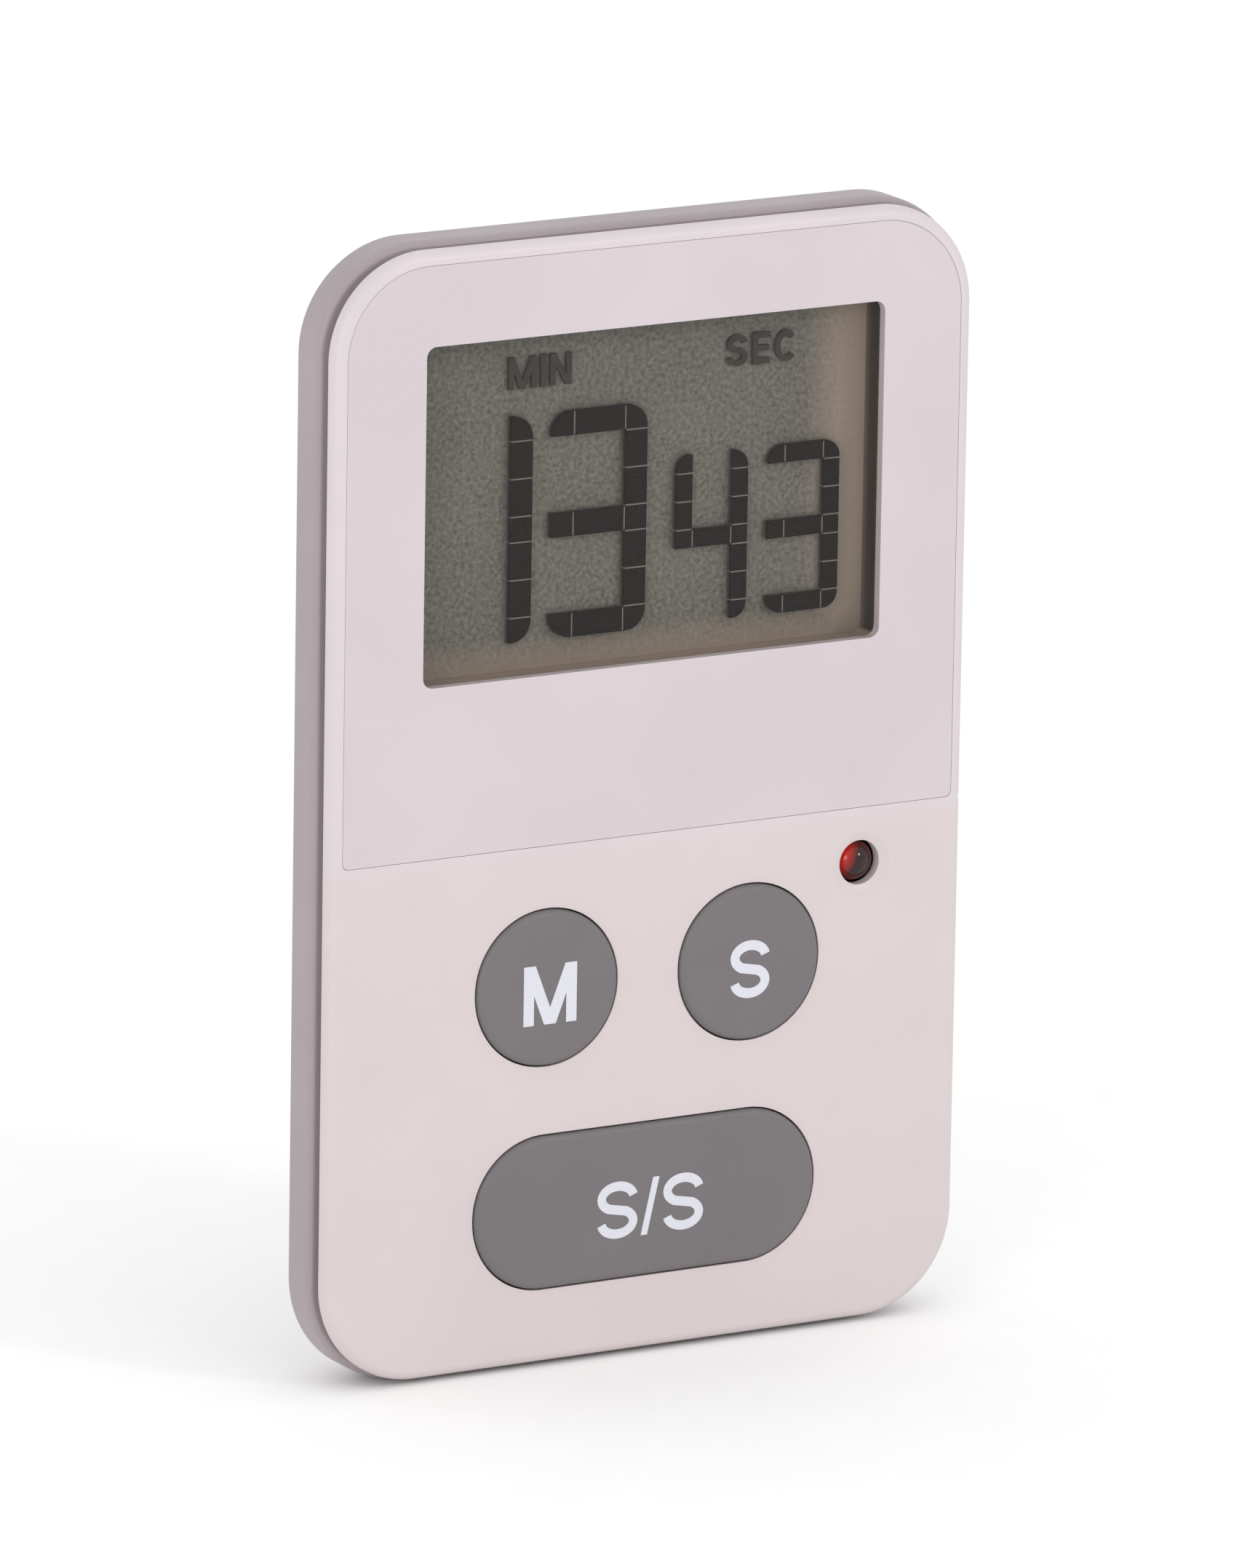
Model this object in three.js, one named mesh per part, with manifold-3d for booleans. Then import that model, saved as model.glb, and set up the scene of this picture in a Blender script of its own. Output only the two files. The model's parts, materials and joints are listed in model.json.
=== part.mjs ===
// A slim pocket countdown timer, built as the separate pieces that it comes apart into.
//
// Units are millimetres, +Z is up the height of the case and the front faces -Y.
// Inside the timer group the Y coordinate is the depth behind the front face, from 0 at the face
// to CASE_DEPTH at the flat back. The group is then moved so that the origin lies on the back.
import * as THREE from 'three';
import { mergeVertices } from 'three/addons/utils/BufferGeometryUtils.js';
import Module from 'manifold-3d';

const wasm = await Module();
wasm.setup();

// ---------- driving dimensions ----------

const CASE_DEPTH = 9;          // front face to flat back
const PLAY = 0.05;             // assembly gap between two pieces that rest on each other
const SIDE_GAP = 0.1;          // gap round a piece that sits in a pocket
const FRONT = { width: 54, height: 85.4, corner: 7.8 };
const FLARE = 0.4;             // the rear shell stands proud of the front cover by this, all round
const SHELL = {
  width: FRONT.width + 2 * FLARE,
  height: FRONT.height + 2 * FLARE,
  corner: FRONT.corner + FLARE,
};

const COVER = {
  edgeRound: 0.8, edgeDepth: 1.1,      // the visible white edge
  lipInset: 1.3, lipWall: 0.9, lipDepth: 3.2,
  skin: 1.2, seatSkin: 1.6,            // depth of the inside face, below and behind the window
};
const SHELL_FORM = {
  rimDepth: 2.2,                       // the flat rim, in the shade of the front cover's edge
  shoulderInset: 0.4, shoulderDepth: 2.6,
  wallInset: 1.4, curveDepth: 4.9, curveInset: 6.3,
  crease: Math.PI / 7,                 // how much of the back's curve is missing at the wall
  insideInset: 6.5, insideStart: 3.6, insideDepth: 7.75,
};

const LENS = { inset: 1.05, thick: 0.75, bottom: -3, lowCorner: 0.5, tape: 0.1, tapeGap: 0.02, bond: 2.4 };
const WINDOW = {
  width: 38.8, height: 25.6, z: 22.8, corner: 0.8, reveal: 0.3, collar: 1.2, collarDepth: 2.2,
};

const DISPLAY = {
  width: 40.4, top: 36.6, ledge: 6.6, bottom: 9.8,
  film: 0.18, glass: 0.5, filmInset: 0.4, glassCorner: 0.3,
};
const DISPLAY_FRONT = WINDOW.collarDepth + PLAY;
const ZEBRA = { width: 38, low: 7, high: 9.2 };
const RETAINER = { thick: 0.45, low: 10.3, high: 36.4, corner: 1, hole: 3, ear: 4.8, earReach: 24.2 };

const BOARD = { width: 48, low: -40.2, high: 9.4, corner: 5.6, front: 4.3, thick: 0.8, bossGap: 0.5 };
const BOARD_BACK = BOARD.front + BOARD.thick;
const BLOB = { z: -12, radius: 4, shoulder: 3.3, crown: 1.8, shoulderTall: 0.35, crownTall: 0.6, tall: 0.65 };
const CRYSTAL = { x: -16, z: 4, radius: 1, length: 6 };
const CHIP = { width: 2, height: 1.2, tall: 0.6, places: [[14, 4], [14, 0.5], [10.5, 4]] };

const KEY = {
  proud: 0.35, round: 0.5, flange: 0.95, flangeFront: 1.45, flangeBack: 2, gap: 0.2,
  pusher: 3, pusherBack: 2.4,
};
const SMALL_KEY_RADIUS = 5.95;
const SMALL_KEY_X = 8.63;
const SMALL_KEY_Z = -13.78;
const WIDE_KEY = { width: 29.1, height: 11.75, z: -31.03 };

const MAT = {
  width: 33.4, low: -38.6, high: -6.6, corner: 4, front: 3.7, overlap: 0.2, screwGap: 0.4,
  domeRadius: 3.6, domeFront: KEY.pusherBack + PLAY, hollowRadius: 2.9, hollowFront: 3.1,
  postRadius: 1.6, postFront: 2.6, postX: 9.5,
};
const PILL = { radius: 2, thick: 0.35 };

const LED = { x: 18.3, z: -7.3, radius: 1.6, tip: 0.15, flangeRadius: 1.9, flangeFront: 3.2, base: 4.2 };
const LED_HOLE = { radius: 1.75, mouth: 2.4, chamfer: 0.5 };
const LED_LEAD = { pitch: 2.54, size: 0.45, end: 5.6 };

const CELL = {
  z: 23, radius: 10, capRadius: 8.8, capTall: 0.5, front: 4.52, thick: 3.2, edge: 0.3, rim: 0.4,
};
const DOOR = {
  radius: 12, hub: 10.85, skirtWall: 0.65, faceBack: 8.45, hubFront: 7.8,
  lugReach: 11.9, lugFront: 7.1, lugBack: 7.65, lugSpan: 24, lugs: 3,
  lugStart: 30, gateGap: 2, edge: 0.15, slotLength: 11, slotWidth: 1.8, slotDepth: 0.4, turnToOpen: 40,
};
const WELL = { inside: 12.2, wall: 1, front: 4.55, ribInside: 10.25, ribBack: 6.9, ribSpan: 12 };

const MAGNET = { x: 17.1, width: 5, height: 22, thick: 1.5, z: 23 };
const MAGNET_BOSS = { wall: 1.2, front: 6.6 };

const STAND = {
  width: 19.6, hingeZ: -4.2, hingeDepth: 8.05, barrel: 0.9, bore: 0.68, pin: 0.6,
  low: -32, front: 7.35, back: 8.9, corner: 2.5,
};
const STAND_POCKET = { half: 10.1, low: -33.6, high: -3, corner: 0.6, front: 7, wall: 1, bossFront: 6.3 };

const BUZZER = { x: 17.35, z: -19, radius: 6, ceramic: 4.2, plateFront: 6.95, thick: 0.2, seat: 4.7 };
const SOUND_SLOT = { length: 6, width: 1, pitch: 2.4, count: 3 };

const CASE_SCREW = {
  x: 22.2, z: 37.7, head: 1.75, headTall: 0.9, shank: 0.9, tip: 2.6,
  seat: 6.6, boss: 2.1, sleeve: 2.9, bossEnd: 5.1, sleeveFront: 5.2, counterbore: 1.95,
};
const SMALL_SCREW = { head: 1.5, headTall: 0.65, shank: 0.75, length: 2.4, boss: 1.7 };
const BOARD_SCREWS = [{ x: -21.5, z: 3.2 }, { x: 21.5, z: 3.2 }, { x: 0, z: -20.6 }];
const RETAINER_SCREW = { x: 22.5, z: WINDOW.z };
const PILOT_GAP = 0.1;         // a screw's shank to the wall of its hole, in place of a thread
// Shares of a screw head's radius and height.
const HEAD = { edge: 0.6, top: 0.7, crossReach: 0.6, crossWidth: 0.11, crossFloor: 0.45 };

const CONTACT = {
  strip: 0.15, width: 4, footLow: 6, negativeX: -4, negativeReach: 1, positiveX: 3, positiveHigh: 12.75,
};
const WIRE = {
  radius: 0.3, lift: 0.2, drop: 0.35,
  signal: { x: 13, z: -6, offX: -1, offZ: 1 },    // where it meets the board, and its place on the disc
  ground: { x: 22, z: -4, offX: 3, offZ: 1.5 },
};

// ---------- materials ----------

const finish = (color, roughness, metalness = 0) =>
  new THREE.MeshStandardMaterial({ color, roughness, metalness });

const WHITE_PLASTIC = [0xded2d3, 0.38];
const GREY_PLASTIC = [0xa89da1, 0.45];
const KEY_PLASTIC = [0x7b7778, 0.5];
const STEEL = [0xb9bcc0, 0.3, 1];
const BRASS = [0xc9a45a, 0.35, 1];
const GLASS = [0xc9cdc4, 0.1];

// ---------- shapes ----------

const CORNER_STEPS = 5;
const LARGE_ROUND_STEPS = 24;
const ROUND_STEPS = 16;
const SMALL_ROUND_STEPS = 8;
const ARC_STEPS = 3;           // an extruded outline's arc gets twice this many facets

function roundedRect(width, height, corner, x = 0, z = 0) {
  const right = x + width / 2;
  const left = x - width / 2;
  const top = z + height / 2;
  const bottom = z - height / 2;
  const shape = new THREE.Shape();
  shape.moveTo(right, bottom + corner);
  shape.absarc(right - corner, top - corner, corner, 0, Math.PI / 2);
  shape.absarc(left + corner, top - corner, corner, Math.PI / 2, Math.PI);
  shape.absarc(left + corner, bottom + corner, corner, Math.PI, 1.5 * Math.PI);
  shape.absarc(right - corner, bottom + corner, corner, 1.5 * Math.PI, 2 * Math.PI);
  return shape;
}

function between(left, right, low, high, corner) {
  return roundedRect(right - left, high - low, corner, (left + right) / 2, (low + high) / 2);
}

function circle(radius, x = 0, z = 0) {
  const shape = new THREE.Shape();
  shape.absarc(x, z, radius, 0, 2 * Math.PI);
  return shape;
}

// An annular sector about (x, z), from one radius to another and one angle to another, in degrees.
function sector(inner, outer, start, end, x, z) {
  const from = THREE.MathUtils.degToRad(start);
  const to = THREE.MathUtils.degToRad(end);
  const shape = new THREE.Shape();
  shape.absarc(x, z, outer, from, to);
  shape.absarc(x, z, inner, to, from, true);
  return shape;
}

// A flat outline in X and Z, thickened from one depth to another.
function plate(shape, front, back, steps = ARC_STEPS) {
  const geometry = new THREE.ExtrudeGeometry(shape, {
    depth: back - front, bevelEnabled: false, curveSegments: steps,
  });
  return geometry.rotateX(Math.PI / 2).translate(0, back, 0);
}

function block(left, right, front, back, low, high) {
  const geometry = new THREE.BoxGeometry(right - left, back - front, high - low);
  return geometry.translate((left + right) / 2, (front + back) / 2, (low + high) / 2);
}

// A round piece about an axis along the depth. The profile is a list of [radius, depth].
function turned(profile, x = 0, z = 0, steps = ROUND_STEPS) {
  const points = profile.map(([radius, depth]) => new THREE.Vector2(radius, depth));
  return new THREE.LatheGeometry(points, steps).translate(x, 0, z);
}

function bar(radius, front, back, x = 0, z = 0, steps = SMALL_ROUND_STEPS) {
  return turned([[0, front], [radius, front], [radius, back], [0, back]], x, z, steps);
}

// A rounded rectangle carried through the depth. Each station gives how far the outline is
// drawn in, and at which depth.
function lofted({ width, height, corner }, stations, x = 0, z = 0) {
  const ring = ([inset, depth]) => {
    const radius = corner - inset;
    const points = [];
    for (let side = 0; side < 4; side += 1) {
      const signX = side === 0 || side === 3 ? 1 : -1;
      const signZ = side < 2 ? 1 : -1;
      for (let step = 0; step <= CORNER_STEPS; step += 1) {
        const angle = (side + step / CORNER_STEPS) * Math.PI / 2;
        points.push(
          x + signX * (width / 2 - corner) + radius * Math.cos(angle),
          depth,
          z + signZ * (height / 2 - corner) + radius * Math.sin(angle),
        );
      }
    }
    return points;
  };
  const perRing = 4 * (CORNER_STEPS + 1);
  const indices = [];
  for (let band = 0; band + 1 < stations.length; band += 1) {
    for (let at = 0; at < perRing; at += 1) {
      const next = (at + 1) % perRing;
      const near = band * perRing;
      const far = near + perRing;
      indices.push(near + at, near + next, far + at, near + next, far + next, far + at);
    }
  }
  const last = (stations.length - 1) * perRing;
  for (let at = 1; at + 1 < perRing; at += 1) {
    indices.push(0, at + 1, at, last, last + at, last + at + 1);
  }
  const geometry = new THREE.BufferGeometry();
  geometry.setAttribute('position', new THREE.Float32BufferAttribute(stations.flatMap(ring), 3));
  geometry.setIndex(indices);
  return geometry;
}

// Stations along a quarter of an ellipse, from one end to the other. The quarter may start late,
// at an angle, and then it meets what comes before it at a crease.
function quarter(from, to, steps, turnsInAtEnd, startAngle = 0) {
  const share = (shape, angle) => (shape(angle) - shape(startAngle)) / (1 - shape(startAngle));
  const rising = (angle) => Math.sin(angle);
  const turning = (angle) => 1 - Math.cos(angle);
  const stations = [];
  for (let step = 0; step <= steps; step += 1) {
    const angle = startAngle + (step / steps) * (Math.PI / 2 - startAngle);
    const across = share(turnsInAtEnd ? turning : rising, angle);
    const along = share(turnsInAtEnd ? rising : turning, angle);
    stations.push([from[0] + (to[0] - from[0]) * across, from[1] + (to[1] - from[1]) * along]);
  }
  return stations;
}

// ---------- joining and cutting ----------

function signedVolume(geometry) {
  const position = geometry.getAttribute('position');
  const index = geometry.getIndex();
  const [a, b, c] = [new THREE.Vector3(), new THREE.Vector3(), new THREE.Vector3()];
  let total = 0;
  for (let at = 0; at < index.count; at += 3) {
    a.fromBufferAttribute(position, index.getX(at));
    b.fromBufferAttribute(position, index.getX(at + 1));
    c.fromBufferAttribute(position, index.getX(at + 2));
    total += a.dot(b.cross(c)) / 6;
  }
  return total;
}

// The same surface with shared vertices, no collapsed triangles, and its faces pointing out.
function closed(source) {
  const bare = source.clone();
  bare.deleteAttribute('normal');
  bare.deleteAttribute('uv');
  const geometry = mergeVertices(bare, 1e-4);
  const index = Array.from(geometry.getIndex().array);
  const kept = [];
  for (let at = 0; at < index.length; at += 3) {
    const [a, b, c] = index.slice(at, at + 3);
    if (a !== b && b !== c && c !== a) kept.push(a, b, c);
  }
  geometry.setIndex(kept);
  if (signedVolume(geometry) < 0) geometry.setIndex(kept.reverse());
  return geometry;
}

function solid(source) {
  const geometry = closed(source);
  return new wasm.Manifold(new wasm.Mesh({
    numProp: 3,
    vertProperties: new Float32Array(geometry.getAttribute('position').array),
    triVerts: new Uint32Array(geometry.getIndex().array),
  }));
}

function surface(manifold) {
  const mesh = manifold.getMesh();
  const geometry = new THREE.BufferGeometry();
  geometry.setAttribute('position', new THREE.BufferAttribute(mesh.vertProperties, 3));
  geometry.setIndex(new THREE.BufferAttribute(mesh.triVerts, 1));
  return geometry;
}

// What two solids have in common.
function common(first, second) {
  return surface(solid(first).intersect(solid(second)));
}

function joined(body, additions, cuts = []) {
  let result = solid(body);
  for (const addition of additions) result = result.add(solid(addition));
  for (const cut of cuts) result = result.subtract(solid(cut));
  return surface(result);
}

// ---------- assembly ----------

const timer = new THREE.Group();
timer.position.y = -CASE_DEPTH;

function place(name, geometry, [color, roughness, metalness], x = 0, z = 0) {
  const mesh = new THREE.Mesh(closed(geometry), finish(color, roughness, metalness));
  mesh.name = name;
  mesh.position.set(x, 0, z);
  timer.add(mesh);
}

const bothSides = (make) => [-1, 1].map(make);
const fourCorners = (make) => [[-1, 1], [1, 1], [-1, -1], [1, -1]].map(([x, z]) => make(x, z));
const OUTSIDE = 2;             // how far a cutting solid reaches past the surface it opens

// ---------- front cover ----------

const lensTop = FRONT.height / 2 - LENS.inset;
const lensHalf = FRONT.width / 2 - LENS.inset;
const lensCorner = FRONT.corner - LENS.inset;

// The window panel's outline: round upper corners that follow the case, small lower ones.
function lensOutline(grow) {
  const half = lensHalf + grow;
  const top = lensTop + grow;
  const bottom = LENS.bottom + PLAY - grow;
  const big = lensCorner + grow;
  const small = LENS.lowCorner;
  const shape = new THREE.Shape();
  shape.moveTo(half, bottom + small);
  shape.absarc(half - big, top - big, big, 0, Math.PI / 2);
  shape.absarc(-half + big, top - big, big, Math.PI / 2, Math.PI);
  shape.absarc(-half + small, bottom + small, small, Math.PI, 1.5 * Math.PI);
  shape.absarc(half - small, bottom + small, small, 1.5 * Math.PI, 2 * Math.PI);
  return shape;
}

const lensSeat = LENS.thick + LENS.tape;
const coverForm = [
  ...quarter([COVER.edgeRound, 0], [0, COVER.edgeRound], 3, false),
  [0, COVER.edgeDepth],
  [COVER.lipInset, COVER.edgeDepth],
  [COVER.lipInset, COVER.lipDepth],
];
const lipInside = 2 * (COVER.lipInset + COVER.lipWall);
const insideHeight = FRONT.height - lipInside;
const seatStep = LENS.bottom - COVER.skin;   // where the inside face steps back behind the window
const coverInside = (front, low) => plate(
  between(
    -(FRONT.width - lipInside) / 2, (FRONT.width - lipInside) / 2,
    low, insideHeight / 2, FRONT.corner - lipInside / 2,
  ),
  front, COVER.lipDepth + OUTSIDE,
);
const lowerInside = joined(
  coverInside(COVER.skin, -insideHeight / 2), [],
  [block(-FRONT.width, FRONT.width, 0, COVER.seatSkin, seatStep, FRONT.height)],
);
const windowHole = roundedRect(
  WINDOW.width + 2 * WINDOW.reveal, WINDOW.height + 2 * WINDOW.reveal, WINDOW.corner, 0, WINDOW.z,
);
const collar = roundedRect(
  WINDOW.width + 2 * WINDOW.collar, WINDOW.height + 2 * WINDOW.collar, WINDOW.corner, 0, WINDOW.z,
);
const screwBosses = [
  ...fourCorners((x, z) => bar(
    CASE_SCREW.boss, COVER.seatSkin - PLAY - COVER.skin / 3, CASE_SCREW.bossEnd,
    x * CASE_SCREW.x, z * CASE_SCREW.z,
  )),
  ...BOARD_SCREWS.map(({ x, z }) => bar(SMALL_SCREW.boss, COVER.skin - PLAY, BOARD.front - PLAY, x, z)),
];
const displayRear = DISPLAY_FRONT + 2 * DISPLAY.film + 2 * DISPLAY.glass + 3 * PLAY;
const retainerFront = displayRear + PLAY;
const retainerBack = retainerFront + RETAINER.thick;
const retainerBosses = bothSides((side) => bar(
  SMALL_SCREW.boss, COVER.seatSkin - PLAY, retainerFront - PLAY, side * RETAINER_SCREW.x, RETAINER_SCREW.z,
));
const screwPilots = [
  ...fourCorners((x, z) => bar(
    CASE_SCREW.shank + PILOT_GAP, CASE_SCREW.tip - PLAY, CASE_SCREW.bossEnd + OUTSIDE,
    x * CASE_SCREW.x, z * CASE_SCREW.z,
  )),
  ...BOARD_SCREWS.map(({ x, z }) => bar(
    SMALL_SCREW.shank + PILOT_GAP, BOARD_BACK - PLAY - SMALL_SCREW.length, BOARD_BACK, x, z,
  )),
  ...bothSides((side) => bar(
    SMALL_SCREW.shank + PILOT_GAP, retainerBack - SMALL_SCREW.length + PLAY, retainerBack,
    side * RETAINER_SCREW.x, RETAINER_SCREW.z,
  )),
];
const smallKeyHoles = bothSides((side) => bar(
  SMALL_KEY_RADIUS + KEY.gap, -OUTSIDE, COVER.lipDepth, side * SMALL_KEY_X, SMALL_KEY_Z, LARGE_ROUND_STEPS,
));
const wideKeyHole = plate(
  roundedRect(
    WIDE_KEY.width + 2 * KEY.gap, WIDE_KEY.height + 2 * KEY.gap,
    WIDE_KEY.height / 2 + KEY.gap, 0, WIDE_KEY.z,
  ),
  -OUTSIDE, COVER.lipDepth, 2 * ARC_STEPS,
);
const ledHole = turned([
  [0, -OUTSIDE], [LED_HOLE.mouth, -OUTSIDE], [LED_HOLE.mouth, 0],
  [LED_HOLE.radius, LED_HOLE.chamfer], [LED_HOLE.radius, COVER.lipDepth], [0, COVER.lipDepth],
], LED.x, LED.z);

const coverShell = joined(
  lofted(FRONT, coverForm), [], [lowerInside, coverInside(COVER.seatSkin, seatStep)],
);
place('front_cover', joined(
  coverShell,
  [plate(collar, COVER.seatSkin - PLAY, WINDOW.collarDepth), ...screwBosses, ...retainerBosses],
  [
    plate(lensOutline(PLAY), -OUTSIDE, lensSeat),
    plate(windowHole, -OUTSIDE, COVER.lipDepth),
    ...smallKeyHoles, wideKeyHole, ledHole, ...screwPilots,
  ],
), WHITE_PLASTIC);

// ---------- window and display ----------

place('display_lens', plate(lensOutline(0), 0, LENS.thick), [0xdcd4dc, 0.12]);

// The double-sided tape is a frame round the window, a little inside the lens's edge.
const tapeOutline = between(
  -lensHalf + LENS.bond / 2, lensHalf - LENS.bond / 2,
  LENS.bottom + LENS.bond / 2, lensTop - LENS.bond / 2, lensCorner - LENS.bond / 2,
);
tapeOutline.holes.push(roundedRect(
  WINDOW.width + 2 * WINDOW.reveal + LENS.bond, WINDOW.height + 2 * WINDOW.reveal + LENS.bond,
  WINDOW.corner, 0, WINDOW.z,
));
place('lens_tape', plate(
  tapeOutline, LENS.thick + LENS.tapeGap, lensSeat - LENS.tapeGap,
), [0xe8e8e4, 0.7]);

const displayHalf = DISPLAY.width / 2;
const displayLayer = (front, thick, low, inset, corner) => plate(
  between(-displayHalf + inset, displayHalf - inset, low + inset, DISPLAY.top - inset, corner),
  front, front + thick, 2,
);
const frontGlassAt = DISPLAY_FRONT + DISPLAY.film + PLAY;
const rearGlassAt = frontGlassAt + DISPLAY.glass + PLAY;
const reflectorAt = rearGlassAt + DISPLAY.glass + PLAY;
place('lcd_front_polariser', displayLayer(
  DISPLAY_FRONT, DISPLAY.film, DISPLAY.bottom - DISPLAY.filmInset, DISPLAY.filmInset, DISPLAY.glassCorner,
), [0x8f8d82, 0.15]);
place('lcd_front_glass', displayLayer(
  frontGlassAt, DISPLAY.glass, DISPLAY.ledge, 0, DISPLAY.glassCorner,
), GLASS);
place('lcd_rear_glass', displayLayer(
  rearGlassAt, DISPLAY.glass, DISPLAY.bottom, 0, DISPLAY.glassCorner,
), GLASS);
place('lcd_reflector', displayLayer(
  reflectorAt, DISPLAY.film, DISPLAY.bottom, DISPLAY.filmInset, DISPLAY.glassCorner,
), [0x9a988c, 0.5]);
place('zebra_strip', block(
  -ZEBRA.width / 2, ZEBRA.width / 2, rearGlassAt + PLAY, BOARD.front - PLAY, ZEBRA.low, ZEBRA.high,
), [0xd8dde0, 0.7]);

// The retainer presses the display forward. Two ears take its screws.
const retainerPlate = between(-displayHalf, displayHalf, RETAINER.low, RETAINER.high, RETAINER.corner);
retainerPlate.holes.push(circle(RETAINER.hole, 0, WINDOW.z));
place('lcd_retainer', joined(
  plate(retainerPlate, retainerFront, retainerBack),
  bothSides((side) => block(
    ...(side < 0
      ? [-RETAINER.earReach, RETAINER.corner - displayHalf]
      : [displayHalf - RETAINER.corner, RETAINER.earReach]),
    retainerFront, retainerBack,
    RETAINER_SCREW.z - RETAINER.ear / 2, RETAINER_SCREW.z + RETAINER.ear / 2,
  )),
  bothSides((side) => bar(
    SMALL_SCREW.shank + PILOT_GAP, 0, CASE_DEPTH, side * RETAINER_SCREW.x, RETAINER_SCREW.z,
  )),
), [0xe6e6e2, 0.6]);

// ---------- rear cover ----------

const shellForm = [
  [SHELL_FORM.wallInset, SHELL_FORM.rimDepth],
  ...quarter(
    [SHELL_FORM.shoulderInset, SHELL_FORM.rimDepth], [0, SHELL_FORM.shoulderDepth], 3, false,
  ),
  ...quarter(
    [0, SHELL_FORM.curveDepth], [SHELL_FORM.curveInset, CASE_DEPTH], 6, true, SHELL_FORM.crease,
  ),
];
const shellInside = lofted(SHELL, [
  [SHELL_FORM.wallInset, SHELL_FORM.rimDepth - OUTSIDE],
  ...quarter(
    [SHELL_FORM.wallInset, SHELL_FORM.insideStart], [SHELL_FORM.insideInset, SHELL_FORM.insideDepth],
    4, true,
  ),
]);
const JOIN = 0.3;              // how far a rib or boss runs into the wall that carries it
const insideWall = SHELL_FORM.insideDepth + JOIN;

const wellRing = circle(WELL.inside + WELL.wall, 0, CELL.z);
wellRing.holes.push(circle(WELL.inside, 0, CELL.z));
const wellRibs = Array.from({ length: DOOR.lugs }, (_, at) => {
  const middle = 90 + at * 360 / DOOR.lugs;
  const half = WELL.ribSpan / 2;
  return plate(
    sector(WELL.ribInside, WELL.inside + JOIN, middle - half, middle + half, 0, CELL.z),
    WELL.front, WELL.ribBack,
  );
});
const magnetBosses = bothSides((side) => {
  const half = MAGNET.width / 2 + SIDE_GAP + MAGNET_BOSS.wall - JOIN;
  return block(
    side * MAGNET.x - half, side * MAGNET.x + half, MAGNET_BOSS.front, insideWall,
    MAGNET.z - MAGNET.height / 2 - MAGNET_BOSS.wall, MAGNET.z + MAGNET.height / 2 + MAGNET_BOSS.wall,
  );
});
const standBoss = block(
  -STAND_POCKET.half - STAND_POCKET.wall, STAND_POCKET.half + STAND_POCKET.wall,
  STAND_POCKET.bossFront, insideWall,
  STAND_POCKET.low - STAND_POCKET.wall, STAND_POCKET.high + STAND_POCKET.wall,
);
const buzzerSeat = circle(BUZZER.seat + 1, BUZZER.x, BUZZER.z);
buzzerSeat.holes.push(circle(BUZZER.seat, BUZZER.x, BUZZER.z));
const shellOutside = lofted(SHELL, shellForm);
const screwSleeves = fourCorners((x, z) => common(shellOutside, bar(
  CASE_SCREW.sleeve, CASE_SCREW.sleeveFront, insideWall, x * CASE_SCREW.x, z * CASE_SCREW.z, ROUND_STEPS,
)));

const lugMiddle = (at) => DOOR.lugStart + at * 360 / DOOR.lugs;
const doorCuts = [
  bar(DOOR.radius + SIDE_GAP, DOOR.faceBack - PLAY, CASE_DEPTH + OUTSIDE, 0, CELL.z, LARGE_ROUND_STEPS),
  bar(DOOR.hub + SIDE_GAP, SHELL_FORM.insideDepth - OUTSIDE, CASE_DEPTH, 0, CELL.z, LARGE_ROUND_STEPS),
  ...Array.from({ length: DOOR.lugs }, (_, at) => {
    const half = DOOR.lugSpan / 2 + DOOR.gateGap;
    const middle = lugMiddle(at) - DOOR.turnToOpen;
    return plate(
      sector(DOOR.hub - JOIN, DOOR.lugReach + SIDE_GAP, middle - half, middle + half, 0, CELL.z),
      SHELL_FORM.insideDepth - PLAY, CASE_DEPTH,
    );
  }),
];
const magnetPockets = bothSides((side) => block(
  side * MAGNET.x - MAGNET.width / 2 - SIDE_GAP, side * MAGNET.x + MAGNET.width / 2 + SIDE_GAP,
  CASE_DEPTH - MAGNET.thick - PLAY, CASE_DEPTH + OUTSIDE,
  MAGNET.z - MAGNET.height / 2 - SIDE_GAP, MAGNET.z + MAGNET.height / 2 + SIDE_GAP,
));
const standPocket = plate(
  between(
    -STAND_POCKET.half, STAND_POCKET.half, STAND_POCKET.low, STAND_POCKET.high, STAND_POCKET.corner,
  ),
  STAND_POCKET.front, CASE_DEPTH + OUTSIDE,
);
const pinReach = STAND_POCKET.half + STAND_POCKET.wall - JOIN;

// A round bar along X at the stand's hinge.
function hingeBar(radius, half) {
  const geometry = new THREE.CylinderGeometry(radius, radius, 2 * half, SMALL_ROUND_STEPS);
  return geometry.rotateZ(Math.PI / 2).translate(0, STAND.hingeDepth, STAND.hingeZ);
}

const soundSlots = Array.from({ length: SOUND_SLOT.count }, (_, at) => plate(
  roundedRect(
    SOUND_SLOT.length, SOUND_SLOT.width, SOUND_SLOT.width / 2,
    BUZZER.x, BUZZER.z + (at - (SOUND_SLOT.count - 1) / 2) * SOUND_SLOT.pitch,
  ),
  BUZZER.plateFront, CASE_DEPTH + OUTSIDE, 2,
));
const caseScrewHoles = fourCorners((x, z) => turned([
  [0, CASE_SCREW.sleeveFront - OUTSIDE], [CASE_SCREW.shank + 2 * PILOT_GAP, CASE_SCREW.sleeveFront - OUTSIDE],
  [CASE_SCREW.shank + 2 * PILOT_GAP, CASE_SCREW.seat], [CASE_SCREW.counterbore, CASE_SCREW.seat],
  [CASE_SCREW.counterbore, CASE_DEPTH + OUTSIDE], [0, CASE_DEPTH + OUTSIDE],
], x * CASE_SCREW.x, z * CASE_SCREW.z, ROUND_STEPS));
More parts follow.
